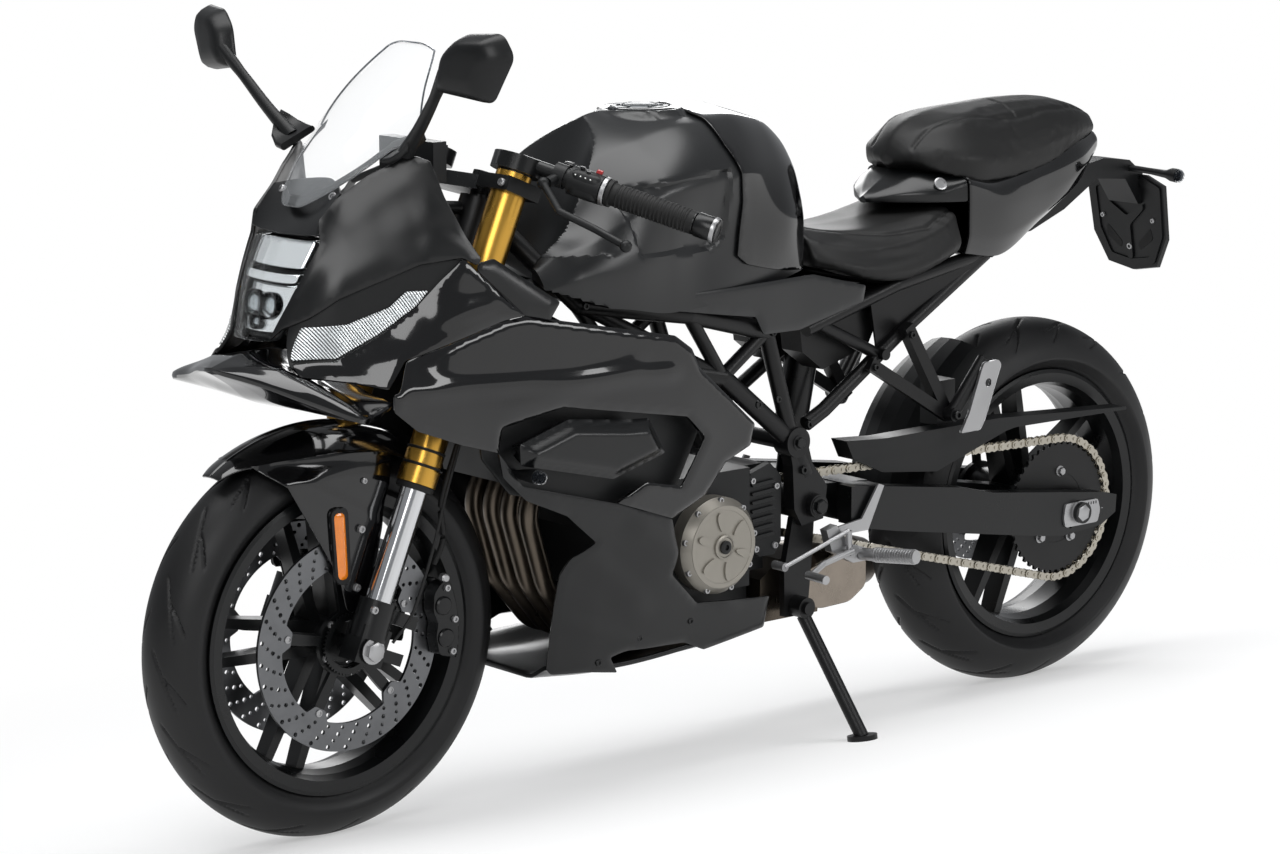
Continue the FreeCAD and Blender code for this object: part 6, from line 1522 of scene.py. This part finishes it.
dial = round_bar([(18, 125), (21, 125), (21.6, 126), (21.6, 131), (21, 132), (18, 132)])
both_sides("grip_dials", [outward(dial)], SILVER, "steering", sharp=30)

# Floor, light and camera

FLOOR_HALF = 20.0
floor_mesh = bpy.data.meshes.new("studio_floor")
floor_mesh.from_pydata([(x * FLOOR_HALF, y * FLOOR_HALF, 0) for x, y in ((-1, -1), (1, -1), (1, 1), (-1, 1))],
                       [], [(0, 1, 2, 3)])
floor = placed("studio_floor", floor_mesh)


def either(tree, a, b):
    """One where a or b is one."""
    return add_node(tree, "ShaderNodeMath", {"operation": "MAXIMUM"}, i0=a, i1=b).outputs[0]


# White sweep: to the camera it is half its own light, so that shadows stay soft, and pure white far out.
FLOOR = bpy.data.materials.new("white_studio_sweep")
FLOOR.use_nodes = True
floor_tree = FLOOR.node_tree
floor_tree.nodes.clear()
chalk = add_node(floor_tree, "ShaderNodeBsdfDiffuse", Color=linear("#f4f4f4"))
glow = add_node(floor_tree, "ShaderNodeEmission", Color=(1, 1, 1, 1), Strength=1.0)
floor_place = add_node(floor_tree, "ShaderNodeTexCoord").outputs["Object"]
reach = add_node(floor_tree, "ShaderNodeVectorMath", {"operation": "LENGTH"}, i0=floor_place)
fade = add_node(floor_tree, "ShaderNodeMapRange", i0=reach.outputs["Value"], i1=1.0, i2=2.6, i3=0.42, i4=1.0)
rays = add_node(floor_tree, "ShaderNodeLightPath").outputs
seen = either(floor_tree, either(floor_tree, rays["Is Camera Ray"], rays["Is Glossy Ray"]),
              rays["Is Transmission Ray"])
share = add_node(floor_tree, "ShaderNodeMath", {"operation": "MULTIPLY"}, i0=seen, i1=fade.outputs[0])
both = add_node(floor_tree, "ShaderNodeMixShader", i0=share.outputs[0], i1=chalk.outputs[0],
                i2=glow.outputs[0])
add_node(floor_tree, "ShaderNodeOutputMaterial", i0=both.outputs[0])
floor_mesh.materials.append(FLOOR)

world = bpy.data.worlds.new("studio")
bpy.context.scene.world = world
world.use_nodes = True
sky_tree = world.node_tree
sky = sky_tree.nodes["Background"]
sky.inputs["Color"].default_value = (0.8, 0.82, 0.85, 1)
sky.inputs["Strength"].default_value = 0.4
backdrop = add_node(sky_tree, "ShaderNodeBackground", Color=(1, 1, 1, 1), Strength=1.0)
sky_rays = add_node(sky_tree, "ShaderNodeLightPath").outputs
sky_seen = either(sky_tree, sky_rays["Is Camera Ray"], sky_rays["Is Transmission Ray"])
sky_mix = add_node(sky_tree, "ShaderNodeMixShader", i0=sky_seen, i1=sky.outputs[0], i2=backdrop.outputs[0])
sky_tree.links.new(sky_mix.outputs[0], sky_tree.nodes["World Output"].inputs["Surface"])


def studio_lamp(name, place, target, size, power):
    """A soft rectangular studio lamp aimed at a point."""
    data = bpy.data.lights.new(name, "AREA")
    data.shape = "RECTANGLE"
    data.size, data.size_y = size
    data.energy = power
    lamp_object = placed(name, data)
    lamp_object.location = place
    lamp_object.rotation_mode = "QUATERNION"
    lamp_object.rotation_quaternion = (Vector(target) - Vector(place)).to_track_quat("-Z", "Y")


studio_lamp("overhead_softbox", (0.3, 0.6, 4.2), (0, 0, 0.5), (4.5, 2.2), 150)
studio_lamp("front_left_softbox", (3.4, 3.2, 2.6), (0.3, 0, 0.6), (1.8, 2.4), 70)
studio_lamp("left_strip", (-1.6, 4.0, 1.8), (-0.2, 0, 0.5), (3.0, 0.8), 50)
studio_lamp("rear_right_rim", (-2.6, -3.2, 2.6), (0, 0, 0.7), (2.4, 1.6), 60)

# The photo's camera, in upright millimetres and degrees, then leaned with the bike.
CAMERA_AT = (3877.0, 4451.0, 1632.0)
CAMERA_YAW, CAMERA_PITCH = math.radians(229.77), math.radians(-10.64)
camera_data = bpy.data.cameras.new("photo_camera")
camera_data.lens = 106.94
camera_data.sensor_width = 36
camera_data.clip_end = 100
camera = placed("photo_camera", camera_data)
bpy.context.scene.camera = camera
forward = np.array([math.cos(CAMERA_YAW) * math.cos(CAMERA_PITCH),
                    math.sin(CAMERA_YAW) * math.cos(CAMERA_PITCH), math.sin(CAMERA_PITCH)])
right = np.cross(forward, [0, 0, 1])
right /= np.linalg.norm(right)
up = np.cross(right, forward)
turn = np.array([[1, 0, 0], [0, math.cos(LEAN), math.sin(LEAN)], [0, -math.sin(LEAN), math.cos(LEAN)]])
axes = turn @ np.stack([right, up, -forward], -1)
camera.matrix_world = Matrix.Translation(leaned(CAMERA_AT)) @ Matrix(axes.tolist()).to_4x4()

bpy.context.scene.view_settings.view_transform = "Standard"
